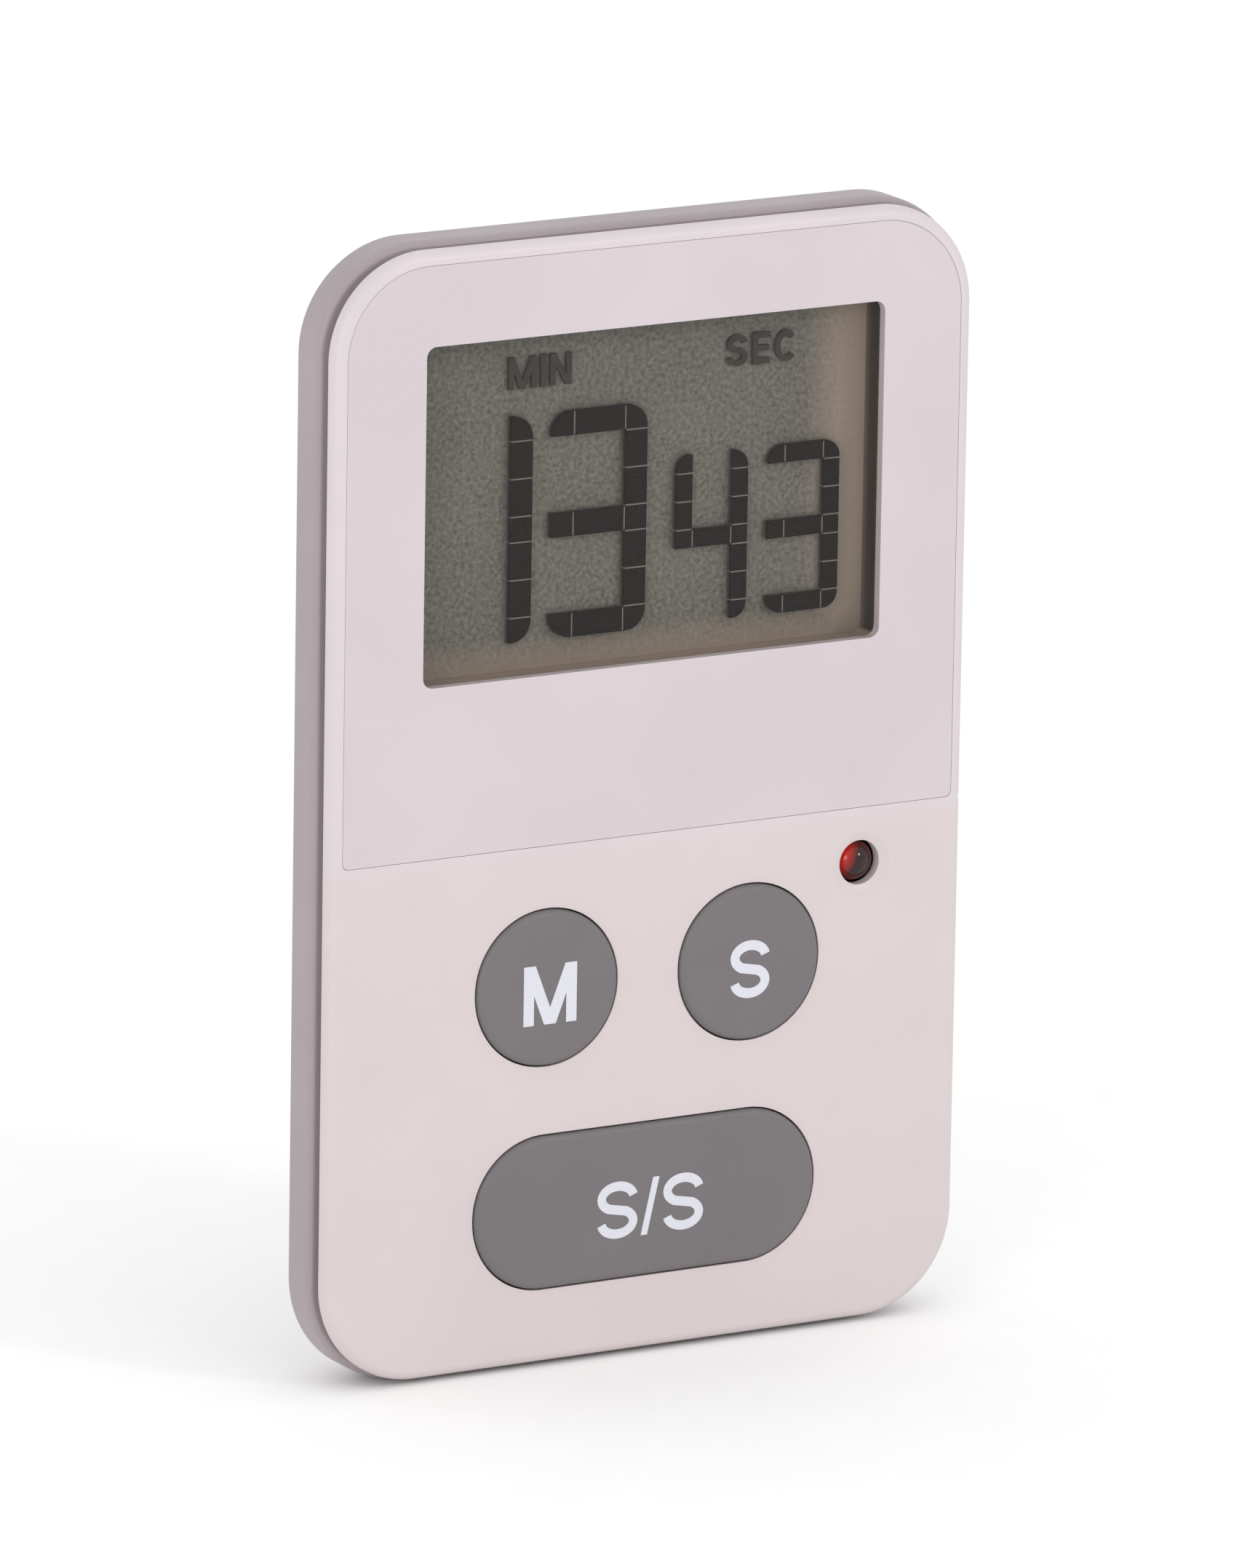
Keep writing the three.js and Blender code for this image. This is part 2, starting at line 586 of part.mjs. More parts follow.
const contactNotch = block(
  CONTACT.positiveX - CONTACT.width / 2 - SIDE_GAP, CONTACT.positiveX + CONTACT.width / 2 + SIDE_GAP,
  WELL.front - OUTSIDE, WELL.ribBack, CELL.z - WELL.inside - 2 * WELL.wall, CELL.z - WELL.ribInside,
);

const shellBody = joined(shellOutside, [], [shellInside]);
place('rear_cover', joined(
  shellBody,
  [
    plate(wellRing, WELL.front, insideWall, 3 * ARC_STEPS), ...wellRibs, ...magnetBosses, standBoss,
    plate(buzzerSeat, BUZZER.plateFront + BUZZER.thick + PLAY, insideWall, 2 * ARC_STEPS),
    ...screwSleeves,
  ],
  [
    ...doorCuts, ...magnetPockets, standPocket, hingeBar(STAND.pin + PLAY, pinReach + PLAY),
    ...soundSlots, ...caseScrewHoles, contactNotch,
  ],
), GREY_PLASTIC);

// ---------- battery and its door ----------

const cellCap = CELL.front + CELL.capTall;
const cellBack = CELL.front + CELL.thick;
place('coin_cell', turned([
  [0, CELL.front], [CELL.capRadius - CELL.edge, CELL.front], [CELL.capRadius, CELL.front + CELL.edge],
  [CELL.capRadius, cellCap], [CELL.radius - CELL.rim, cellCap],
  [CELL.radius, cellCap + CELL.rim], [CELL.radius, cellBack - CELL.edge],
  [CELL.radius - CELL.edge, cellBack], [0, cellBack],
], 0, CELL.z), STEEL);

const doorSkirt = circle(DOOR.hub);
doorSkirt.holes.push(circle(DOOR.hub - DOOR.skirtWall));
const doorLugs = Array.from({ length: DOOR.lugs }, (_, at) => plate(
  sector(
    DOOR.hub - DOOR.skirtWall / 2, DOOR.lugReach,
    lugMiddle(at) - DOOR.lugSpan / 2, lugMiddle(at) + DOOR.lugSpan / 2, 0, 0,
  ),
  DOOR.lugFront, DOOR.lugBack,
));
place('battery_door', joined(
  turned([
    [0, DOOR.hubFront], [DOOR.hub, DOOR.hubFront], [DOOR.hub, DOOR.faceBack], [DOOR.radius, DOOR.faceBack],
    [DOOR.radius, CASE_DEPTH - DOOR.edge], [DOOR.radius - DOOR.edge, CASE_DEPTH], [0, CASE_DEPTH],
  ], 0, 0, LARGE_ROUND_STEPS),
  [plate(doorSkirt, DOOR.lugFront, DOOR.hubFront + JOIN, 3 * ARC_STEPS), ...doorLugs],
  [plate(
    roundedRect(DOOR.slotLength, DOOR.slotWidth, DOOR.slotWidth / 2),
    CASE_DEPTH - DOOR.slotDepth, CASE_DEPTH + OUTSIDE,
  )],
), GREY_PLASTIC, 0, CELL.z);

// Each contact is a bent strip: a foot on the back of the board and a tongue that reaches the cell.
const footFront = BOARD_BACK + PLAY;
const bendLow = BOARD.high + SIDE_GAP;
const contactX = (x) => [x - CONTACT.width / 2, x + CONTACT.width / 2];
const footBack = footFront + CONTACT.strip;
place('battery_contact_negative', joined(
  block(...contactX(CONTACT.negativeX), footFront, footBack, CONTACT.footLow, bendLow + CONTACT.strip),
  [
    block(
      ...contactX(CONTACT.negativeX), CELL.front - PLAY - CONTACT.strip, footBack,
      bendLow, bendLow + CONTACT.strip,
    ),
    block(
      ...contactX(CONTACT.negativeX), CELL.front - PLAY - CONTACT.strip, CELL.front - PLAY,
      bendLow, CELL.z - CONTACT.negativeReach,
    ),
  ],
), BRASS);
place('battery_contact_positive', joined(
  block(...contactX(CONTACT.positiveX), footFront, footBack, CONTACT.footLow, CONTACT.positiveHigh),
  [block(
    ...contactX(CONTACT.positiveX), footFront, WELL.ribBack - PLAY,
    CONTACT.positiveHigh - CONTACT.strip, CONTACT.positiveHigh,
  )],
), BRASS);

// ---------- circuit board ----------

const boardCuts = [
  ...bothSides((side) => bar(
    CASE_SCREW.boss + BOARD.bossGap, 0, CASE_DEPTH, side * CASE_SCREW.x, -CASE_SCREW.z,
  )),
  ...BOARD_SCREWS.map(({ x, z }) => bar(SMALL_SCREW.shank + PILOT_GAP, 0, CASE_DEPTH, x, z)),
  ...bothSides((side) => bar(LED_LEAD.size, 0, CASE_DEPTH, LED.x + side * LED_LEAD.pitch / 2, LED.z)),
];
place('circuit_board', joined(
  plate(
    between(-BOARD.width / 2, BOARD.width / 2, BOARD.low, BOARD.high, BOARD.corner),
    BOARD.front, BOARD_BACK,
  ),
  [], boardCuts,
), [0x2f6b46, 0.5]);
place('controller_blob', turned([
  [0, footFront], [BLOB.radius, footFront], [BLOB.shoulder, footFront + BLOB.shoulderTall],
  [BLOB.crown, footFront + BLOB.crownTall], [0, footFront + BLOB.tall],
]), [0x1b1b1c, 0.35], 0, BLOB.z);
place('watch_crystal', new THREE.CylinderGeometry(
  CRYSTAL.radius, CRYSTAL.radius, CRYSTAL.length, SMALL_ROUND_STEPS,
).rotateZ(Math.PI / 2).translate(0, footFront + CRYSTAL.radius, 0), STEEL, CRYSTAL.x, CRYSTAL.z);
CHIP.places.forEach(([x, z], at) => place(
  `chip_capacitor_${at + 1}`,
  block(-CHIP.width / 2, CHIP.width / 2, footFront, footFront + CHIP.tall, -CHIP.height / 2, CHIP.height / 2),
  [0xb59a74, 0.5], x, z,
));

// ---------- alarm lamp ----------

const domeSteps = 4;
const dome = Array.from({ length: domeSteps + 1 }, (_, step) => {
  const angle = (step / domeSteps) * Math.PI / 2;
  return [LED.radius * Math.sin(angle), LED.tip + LED.radius * (1 - Math.cos(angle))];
});
place('alarm_led', turned([
  ...dome, [LED.radius, LED.flangeFront], [LED.flangeRadius, LED.flangeFront],
  [LED.flangeRadius, LED.base], [0, LED.base],
]), [0x8c1f1c, 0.15], LED.x, LED.z);
bothSides((side) => place(
  side < 0 ? 'led_lead_anode' : 'led_lead_cathode',
  block(
    -LED_LEAD.size / 2, LED_LEAD.size / 2, LED.base + PLAY, LED_LEAD.end,
    -LED_LEAD.size / 2, LED_LEAD.size / 2,
  ),
  STEEL, LED.x + side * LED_LEAD.pitch / 2, LED.z,
));

// ---------- keys and their mat ----------

const keys = [
  { name: 'minutes', x: -SMALL_KEY_X, z: SMALL_KEY_Z },
  { name: 'seconds', x: SMALL_KEY_X, z: SMALL_KEY_Z },
  { name: 'start_stop', x: 0, z: WIDE_KEY.z },
];
// A key is a loft with a soft front edge, a flange behind the cover and a pusher on the dome.
function keyCap(width, height) {
  const corner = height / 2;
  const cap = lofted({ width, height, corner }, [
    ...quarter([KEY.round, -KEY.proud], [0, KEY.round - KEY.proud], 3, false), [0, KEY.flangeBack],
  ]);
  const flange = plate(
    roundedRect(width + 2 * KEY.flange, height + 2 * KEY.flange, corner + KEY.flange),
    KEY.flangeFront, KEY.flangeBack,
  );
  return joined(cap, [flange, bar(KEY.pusher, KEY.flangeFront, KEY.pusherBack, 0, 0, ROUND_STEPS)]);
}
const smallCap = keyCap(2 * SMALL_KEY_RADIUS, 2 * SMALL_KEY_RADIUS);
const wideCap = keyCap(WIDE_KEY.width, WIDE_KEY.height);
for (const { name, x, z } of keys) {
  place(`key_${name}`, name === 'start_stop' ? wideCap : smallCap, KEY_PLASTIC, x, z);
  place(
    `carbon_pill_${name}`,
    bar(PILL.radius, MAT.hollowFront + PLAY, MAT.hollowFront + PLAY + PILL.thick, 0, 0, ROUND_STEPS),
    [0x202022, 0.9], x, z,
  );
}
place('keypad_mat', joined(
  plate(between(-MAT.width / 2, MAT.width / 2, MAT.low, MAT.high, MAT.corner), MAT.front, BOARD.front - PLAY),
  [
    ...keys.map(({ x, z }) => bar(MAT.domeRadius, MAT.domeFront, MAT.front + MAT.overlap, x, z, ROUND_STEPS)),
    ...bothSides((side) => bar(
      MAT.postRadius, MAT.postFront, MAT.front + MAT.overlap, side * MAT.postX, WIDE_KEY.z,
    )),
  ],
  [
    ...keys.map(({ x, z }) => bar(MAT.hollowRadius, MAT.hollowFront, CASE_DEPTH, x, z, ROUND_STEPS)),
    bar(SMALL_SCREW.boss + MAT.screwGap, 0, CASE_DEPTH, BOARD_SCREWS[2].x, BOARD_SCREWS[2].z),
  ],
), [0xcfd2d2, 0.85]);

// ---------- buzzer ----------

place('buzzer_plate', bar(
  BUZZER.radius, BUZZER.plateFront, BUZZER.plateFront + BUZZER.thick, 0, 0, ROUND_STEPS,
), BRASS, BUZZER.x, BUZZER.z);
place('buzzer_ceramic', bar(
  BUZZER.ceramic, BUZZER.plateFront - BUZZER.thick - PLAY, BUZZER.plateFront - PLAY, 0, 0, ROUND_STEPS,
), [0xe9e6dc, 0.5], BUZZER.x, BUZZER.z);

// A thin insulated wire from the disc to the back of the board, on one smooth curve.
function wire({ x, z, offX, offZ }) {
  const start = new THREE.Vector3(
    BUZZER.x + offX, BUZZER.plateFront - BUZZER.thick - 2 * PLAY - WIRE.radius, BUZZER.z + offZ,
  );
  const end = new THREE.Vector3(x, footFront + WIRE.radius, z);
  const leaving = start.clone().lerp(end, 1 / 3).setY(start.y - WIRE.drop);
  const arriving = start.clone().lerp(end, 2 / 3).setY(end.y + WIRE.lift);
  return new THREE.ExtrudeGeometry(circle(WIRE.radius), {
    steps: 12, curveSegments: 4, bevelEnabled: false,
    extrudePath: new THREE.CatmullRomCurve3([start, leaving, arriving, end]),
  });
}
place('buzzer_wire_signal', wire(WIRE.signal), [0xa02a26, 0.5]);
place('buzzer_wire_ground', wire(WIRE.ground), [0x26262a, 0.5]);

// ---------- screws ----------

// A pan head at the back, a shank towards the front, and a cross recess in the head.
function screw({ head, headTall, shank }, length) {
  const [long, short] = [head * HEAD.crossReach, head * HEAD.crossWidth];
  const cross = [[long, short], [short, long]].map(([x, z]) => block(
    -x, x, headTall * HEAD.crossFloor, headTall + OUTSIDE, -z, z,
  ));
  return joined(turned([
    [0, -length], [shank, -length], [shank, 0], [head, 0], [head, headTall * HEAD.edge],
    [head * HEAD.top, headTall], [0, headTall],
  ], 0, 0, SMALL_ROUND_STEPS), [], cross);
}
const seated = (geometry, depth) => geometry.clone().translate(0, depth, 0);
const caseScrew = seated(screw(CASE_SCREW, CASE_SCREW.seat + PLAY - CASE_SCREW.tip), CASE_SCREW.seat + PLAY);
[[-1, 1], [1, 1], [-1, -1], [1, -1]].forEach(([x, z], at) => place(
  `case_screw_${at + 1}`, caseScrew, STEEL, x * CASE_SCREW.x, z * CASE_SCREW.z,
));
const boardScrew = seated(screw(SMALL_SCREW, SMALL_SCREW.length), BOARD_BACK + PLAY);
BOARD_SCREWS.forEach(({ x, z }, at) => place(`board_screw_${at + 1}`, boardScrew, STEEL, x, z));
const retainerScrew = seated(screw(SMALL_SCREW, SMALL_SCREW.length - 4 * PLAY), retainerBack + PLAY);
bothSides((side) => place(
  side < 0 ? 'retainer_screw_1' : 'retainer_screw_2', retainerScrew, STEEL,
  side * RETAINER_SCREW.x, RETAINER_SCREW.z,
));

// ---------- magnets and stand ----------

bothSides((side) => place(
  side < 0 ? 'magnet_left' : 'magnet_right',
  block(
    -MAGNET.width / 2, MAGNET.width / 2, CASE_DEPTH - MAGNET.thick, CASE_DEPTH,
    -MAGNET.height / 2, MAGNET.height / 2,
  ),
  [0x3b3b3f, 0.6], side * MAGNET.x, MAGNET.z,
));

const flap = plate(
  between(-STAND.width / 2, STAND.width / 2, STAND.low, STAND.hingeZ, STAND.corner / 2),
  STAND.front, STAND.back,
);
place('stand', joined(
  flap, [hingeBar(STAND.barrel, STAND.width / 2)], [hingeBar(STAND.bore, STAND.width)],
), GREY_PLASTIC);
place('stand_pin', hingeBar(STAND.pin, pinReach), STEEL);

export default timer;
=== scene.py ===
"""A slim pocket countdown timer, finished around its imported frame.

The frame's axes are kept: +Z up the case and -Y out of its front. A depth is how far a place lies
behind the front face. Pieces are made in millimetres, and brought to metres when they are handed over.
"""
import json
import math

import bmesh
import bpy
from mathutils import Matrix, Vector


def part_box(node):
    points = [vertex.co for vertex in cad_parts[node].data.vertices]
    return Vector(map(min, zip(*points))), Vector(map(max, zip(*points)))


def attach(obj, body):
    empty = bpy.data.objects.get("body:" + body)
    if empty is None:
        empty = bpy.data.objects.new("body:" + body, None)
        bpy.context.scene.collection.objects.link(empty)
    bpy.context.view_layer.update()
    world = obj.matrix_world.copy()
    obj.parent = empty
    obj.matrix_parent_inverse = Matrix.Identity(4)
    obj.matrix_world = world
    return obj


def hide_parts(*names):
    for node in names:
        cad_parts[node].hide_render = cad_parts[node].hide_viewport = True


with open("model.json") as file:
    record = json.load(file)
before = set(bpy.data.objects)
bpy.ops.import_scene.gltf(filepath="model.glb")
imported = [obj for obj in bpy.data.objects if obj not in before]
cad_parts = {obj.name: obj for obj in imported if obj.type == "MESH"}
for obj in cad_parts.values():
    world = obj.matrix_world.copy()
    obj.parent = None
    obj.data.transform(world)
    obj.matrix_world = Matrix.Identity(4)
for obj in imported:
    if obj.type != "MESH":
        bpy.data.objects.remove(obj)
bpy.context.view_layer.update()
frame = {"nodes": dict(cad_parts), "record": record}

MM = 0.001


def box(node):
    """The lowest and highest corners of a CAD node, in millimetres."""
    low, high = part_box(node)
    return low / MM, high / MM


def middle_of(node):
    """The middle of a CAD node's box in X and Z, and its half width and half height."""
    low, high = box(node)
    centre, half = (low + high) / 2, (high - low) / 2
    return centre.x, centre.z, half.x, half.z


# ---------- driving sizes, in millimetres ----------

FRONT_LOW, FRONT_HIGH = box("front_cover")
SHELL_LOW, SHELL_HIGH = box("rear_cover")
LENS_LOW, LENS_HIGH = box("display_lens")
STAND_LOW, STAND_HIGH = box("stand")
PIN_LOW, PIN_HIGH = box("stand_pin")
FRONT_Y = FRONT_LOW.y
BACK = SHELL_HIGH.y - FRONT_Y  # depth of the flat back
LENS_THICK = LENS_HIGH.y - LENS_LOW.y

CUT = 2.0                      # how far a cutting shape reaches past the surface it opens
SLIVER = 0.004                 # anything thinner is a leftover of cutting
FLAT_LIMIT = 0.9999            # past this, a face's direction counts as straight along the depth
FINE_EDGE = 0.12               # the usual softening of a moulded edge
SHORTEST_EDGE = 0.1            # a round end keeps a flat this long, so that it can be inset

CORNER = 7.8                   # corner radius of the white cover's outline
COVER_ROUND = 0.8              # rounding of its front edge
COVER_EDGE = 1.1               # depth of the white edge that shows
LIP_INSET = 1.3
LIP_WALL = 0.9
LIP_DEPTH = 3.2
COVER_SKIN = 1.2
COVER_SOFTENING = 0.07
SEAT_SKIN = 1.6                # the cover's thickness behind the window panel
SEAT_DEPTH = 0.85
SEAT_PLAY = 0.03
LENS_LOW_CORNER = 0.5
PANE_PLAY = 0.02               # gap round the clear pane in the panel's face
PANE_SINK = 0.02
WINDOW_WIDTH = 38.8
WINDOW_HEIGHT = 25.6
WINDOW_Z = 22.8
WINDOW_CORNER = 0.8
WINDOW_REVEAL = 0.3            # how much wider the opening in the cover is than the printed edge
COLLAR = 1.2
COLLAR_DEPTH = 2.2

SHELL_FLARE = 0.4              # the rear shell stands proud of the cover by this
SHELL_RIM = 2.0                # the flat rim, in the shade of the front cover's edge
SHOULDER_INSET = 0.5
SHOULDER_DEPTH = 2.6           # where the rim's round runs into the straight wall
SHELL_CURVE_START = 4.9
CREASE = math.pi / 7           # how much of the back's curve is missing at the wall
SHELL_INSIDE_START = 3.6
SHELL_CURVE_INSET = 6.3
SHELL_WALL = 1.4
SHELL_INSIDE_INSET = 6.5
SHELL_INSIDE_DEPTH = 7.75
JOIN = 0.3                     # how far a rib runs into the wall that carries it

KEYS = {
    "key_minutes": "minutes_key",
    "key_seconds": "seconds_key",
    "key_start_stop": "start_stop_key",
}
KEY_GAP = 0.12
KEY_FLANGE = 0.95
KEY_PROUD = 0.35
KEY_ROUND = 0.5
KEY_FLANGE_FRONT = 1.45
KEY_FLANGE_BACK = 2.0
PUSHER_RADIUS = 3.0
PUSHER_BACK = 2.4
LEGEND_PROUD = 0.015

LED_X, LED_Z, LED_FLANGE, _ = middle_of("alarm_led")
LED_RADIUS = 1.68
LED_TIP = 0.15
LED_FLANGE_FRONT = 3.2
LED_BASE = 4.2
LED_HOLE = 1.71
LED_MOUTH = 2.45
LED_CHAMFER = 0.35

SCREW_X, SCREW_Z, _, _ = middle_of("case_screw_2")
SCREW_SEAT = 6.6
SCREW_SHANK = 0.9
SCREW_HOLE_FRONT = 3.2
SCREW_HOLE = 1.1
SCREW_COUNTERBORE = 1.95
POST_RADIUS = 2.1
POST_FRONT = 1.0
POST_END = 5.1
PILOT_RADIUS = 1.0
PILOT_FRONT = 2.5
SLEEVE_RADIUS = 2.9
SLEEVE_FRONT = 5.2
NOTCH_BITE = 0.3               # how far the pry notch reaches in from the cover's right edge
NOTCH_BELOW = 0.45             # how far it reaches below the window panel's seam
NOTCH_ABOVE = 0.1

DOOR_X, DOOR_Z, _, _ = middle_of("battery_door")
DOOR_HUB = 10.85
DOOR_HUB_INNER = 10.2
DOOR_HUB_FRONT = 7.1
DOOR_FLOOR = 7.8
DOOR_FACE = 12.0
DOOR_FACE_FRONT = 8.45
DOOR_EDGE = 0.18
LUG_ANGLES = (30, 150, 270)
LUG_HALF = 12
LUG_INNER = 10.5
LUG_OUTER = 11.9
LUG_BACK = 7.65
COIN_SLOT_HALF_LENGTH = 5.5
COIN_SLOT_HALF_WIDTH = 0.9
COIN_SLOT_DEPTH = 0.4
OPEN_TURN = 40
WELL_INNER = 12.2              # the wall round the battery door
WELL_OUTER = 13.2
WELL_FRONT = 4.55
RIB_INNER = 10.25
RIB_OUTER = 12.5
RIB_BACK = 6.9
RIB_HALF = 6
RIB_ANGLES = (90, 210, 330)
DOOR_SEAT = 12.1
DOOR_SEAT_DEPTH = 8.4
DOOR_HOLE = 10.95
DOOR_HOLE_FRONT = 5.75
GATE_OUTER = 12.0
GATE_HALF = 14
GATE_FRONT = 7.7
GATE_BACK = 9.0
HINGE_DEPTH = 8.05
HINGE_Z = -4.2
PIN_RADIUS = 0.6
PIN_PLAY = 0.05
BARREL_RADIUS = 0.9
BARREL_BORE = 0.68
FLAP_FRONT = 7.35
FLAP_BACK = 8.9
FLAP_CORNER = 1.25
RIDGES = 4
RIDGE_FIRST = 1.6              # from the flap's free end to the first grip ridge
RIDGE_SPACING = 1.1
RIDGE_HALF_LENGTH = 5.0
RIDGE_HALF_WIDTH = 0.22
RIDGE_FRONT = 8.8
RIDGE_BACK = 8.98
RIDGE_CORNER = 0.2
BOSS_HALF_WIDTH = 11.1
BOSS_FRONT = 6.3
BOSS_LOW = -34.6
BOSS_HIGH = -2.0
POCKET_HALF_WIDTH = 10.1
POCKET_LOW = -33.6
POCKET_HIGH = -3.0
POCKET_FRONT = 7.0
POCKET_CORNER = 0.6
BUZZER_SEAT_INNER = 4.7
BUZZER_SEAT_OUTER = 5.7
BUZZER_SEAT_FRONT = 7.2
SLOT_HALF_LENGTH = 3.0
SLOT_HALF_WIDTH = 0.5
SLOT_SPACING = 2.4
SLOT_FRONT = 6.9
MAGNET_DEPTH = 1.5
MAGNET_PLAY = 0.1
MAGNET_POCKET_DEPTH = 1.55
MAGNET_BOSS_FRONT = 6.6
MAGNET_BOSS_SIDE = 1.0
MAGNET_BOSS_END = 1.2
BUZZER_X, BUZZER_Z, _, _ = middle_of("buzzer_plate")
MAGNETS = ("magnet_left", "magnet_right")


def at(x, deep, z):
    """A place from its X, its depth behind the front face and its Z."""
    return Vector((x, FRONT_Y + deep, z))


# ---------- modelling tools ----------


def only(thing):
    """Selects one object and makes it active."""
    bpy.ops.object.select_all(action="DESELECT")
    thing.select_set(True)
    bpy.context.view_layer.objects.active = thing


def settle(thing):
    """Moves an object's place, turn and scale into its mesh."""
    only(thing)
    bpy.ops.object.transform_apply(location=True, rotation=True, scale=True)
    return thing


def block(name, low, high):
    """A box between two corners."""
    bpy.ops.object.select_all(action="DESELECT")
    bpy.ops.mesh.primitive_cube_add(size=1, location=(low + high) / 2, scale=high - low)
    thing = bpy.context.object
    thing.name = name
    return settle(thing)


def edit(thing, faces=None, edges=None):
    """Enters edit mode and selects the faces or edges that a test picks by middle and direction, or all."""
    only(thing)
    bpy.ops.object.mode_set(mode="EDIT")
    if not faces and not edges:
        bpy.ops.mesh.select_all(action="SELECT")
        return
    bpy.ops.mesh.select_mode(type="FACE" if faces else "EDGE")
    bpy.ops.mesh.select_all(action="DESELECT")
    shape = bmesh.from_edit_mesh(thing.data)
    for face in shape.faces if faces else ():
        face.select_set(bool(faces(face.calc_center_median(), face.normal)))
    for edge in shape.edges if edges else ():
        start, end = (vertex.co for vertex in edge.verts)
        edge.select_set(bool(edges((start + end) / 2, (end - start).normalized())))
    bmesh.update_edit_mesh(thing.data)


def leave():
    bpy.ops.object.mode_set(mode="OBJECT")


def tidy_mesh():
    """Merges what coincides and turns all faces outwards, in edit mode."""
    bpy.ops.mesh.select_all(action="SELECT")
    bpy.ops.mesh.remove_doubles(threshold=0.001)
    bpy.ops.mesh.normals_make_consistent(inside=False)


def round_corners(thing, radius, chosen=lambda middle: True, steps=16):
    """Rounds the chosen edges that run along the depth."""
    edit(thing, edges=lambda middle, way: abs(way.y) > 0.99 and chosen(middle))
    bpy.ops.mesh.bevel(offset=radius, segments=steps, affect="EDGES", clamp_overlap=False)
    tidy_mesh()
    leave()
    return thing


def slab(name, left, right, low, high, front, back, corner, steps=16):
    """A plate with round corners: X from left to right, Z from low to high, and two depths."""
    thing = block(name, at(left, front, low), at(right, back, high))
    widest = min(right - left, high - low) / 2 - SHORTEST_EDGE / 2
    return round_corners(thing, min(corner, widest), steps=steps)


def carry_end(thing, side, stations):
    """Carries the flat end that faces side along Y through stations of (inset, distance outwards)."""
    end = max(side * vertex.co.y for vertex in thing.data.vertices)
    edit(thing, faces=lambda middle, normal: side * normal.y > 0.99 and side * middle.y > end - 0.01)
    at_inset, at_out = 0.0, 0.0
    for inset, out in stations:
        bpy.ops.mesh.inset(thickness=max(inset - at_inset, 1e-6), depth=out - at_out, use_even_offset=True)
        at_inset, at_out = inset, out
    leave()
    return thing


def quarter(inset, out, steps, late=0.0):
    """Stations of a quarter ellipse that ends flat. It leaves the wall smoothly, or late, with a crease."""
    turns = [late + (math.pi / 2 - late) * (step + 1) / steps for step in range(steps)]
    return [(
        inset * (math.cos(late) - math.cos(turn)) / math.cos(late),
        out * (math.sin(turn) - math.sin(late)) / (1 - math.sin(late)),
    ) for turn in turns]


def drawn(name, places):
    """A line of edges through the places, made by extruding one point. It stays in edit mode."""
    bpy.ops.object.select_all(action="DESELECT")
    bpy.ops.mesh.primitive_plane_add(size=1, location=places[0])
    thing = settle(bpy.context.object)
    thing.name = name
    bpy.ops.object.mode_set(mode="EDIT")
    bpy.ops.mesh.select_mode(type="VERT")
    bpy.ops.mesh.select_all(action="SELECT")
    bpy.ops.mesh.merge(type="CENTER")
    for before, after in zip(places, places[1:]):
        bpy.ops.mesh.extrude_region_move(TRANSFORM_OT_translate={"value": after - before})
    bpy.ops.mesh.select_all(action="SELECT")
    return thing


def turned(name, profile, x=0.0, z=0.0, steps=64):
    """A round piece about an axis along the depth, spun from a profile of (radius, depth)."""
    thing = drawn(name, [at(x + radius, deep, z) for radius, deep in profile])
    bpy.ops.mesh.spin(steps=steps, angle=2 * math.pi, center=(x, 0, z), axis=(0, 1, 0))
    tidy_mesh()
    leave()
    return thing


def sector(name, x, z, inner, outer, start, end, front, back, steps=12):
    """Part of a ring about a point, between two angles in degrees."""
    turn = math.radians(start)
    corners = [(inner, front), (outer, front), (outer, back), (inner, back), (inner, front)]
    thing = drawn(name, [
        at(x + radius * math.cos(turn), deep, z + radius * math.sin(turn)) for radius, deep in corners
    ])
    bpy.ops.mesh.remove_doubles(threshold=0.001)
    bpy.ops.mesh.select_all(action="SELECT")
    bpy.ops.mesh.edge_face_add()
    bpy.ops.mesh.spin(steps=steps, angle=math.radians(start - end), center=(x, 0, z), axis=(0, 1, 0))
    tidy_mesh()
    leave()
    return thing


def across_bar(name, left, right, radius, steps=48):
    """A round bar along X at the stand's hinge, with its ends just broken."""
    bpy.ops.object.select_all(action="DESELECT")
    bpy.ops.mesh.primitive_cylinder_add(
        vertices=steps, radius=radius, depth=right - left, rotation=(0, math.pi / 2, 0),
        location=at((left + right) / 2, HINGE_DEPTH, HINGE_Z),
    )
    thing = settle(bpy.context.object)
    thing.name = name
    edit(thing, faces=lambda middle, normal: abs(normal.x) > 0.99)
    bpy.ops.mesh.bevel(offset=radius * 0.15, segments=2, affect="EDGES")
    leave()
    return thing


def apply(thing, kind, **settings):
    """Adds a modifier and applies it at once."""
    only(thing)
    modifier = thing.modifiers.new(kind.lower(), kind)
    for key, value in settings.items():
        setattr(modifier, key, value)
    bpy.ops.object.modifier_apply(modifier=modifier.name)
    return thing


def combine(thing, others, operation):
    for other in others:
        apply(thing, "BOOLEAN", operation=operation, object=other, solver="EXACT")
        bpy.data.objects.remove(other)
    return thing


def cut(thing, *cutters):
    return combine(thing, cutters, "DIFFERENCE")


def weld(thing, *additions):
    return combine(thing, additions, "UNION")


def joined(name, things):
    """Several separate shapes as one object."""
    bpy.ops.object.select_all(action="DESELECT")
    for thing in things:
        thing.select_set(True)
    bpy.context.view_layer.objects.active = things[0]
    bpy.ops.object.join()
    things[0].name = name
    return things[0]


def copied(thing, name, by):
    """A copy with its own mesh, moved by an offset."""
    twin = thing.copy()
    twin.data = thing.data.copy()
    twin.name = name
    bpy.context.scene.collection.objects.link(twin)
    twin.location = by
    return settle(twin)


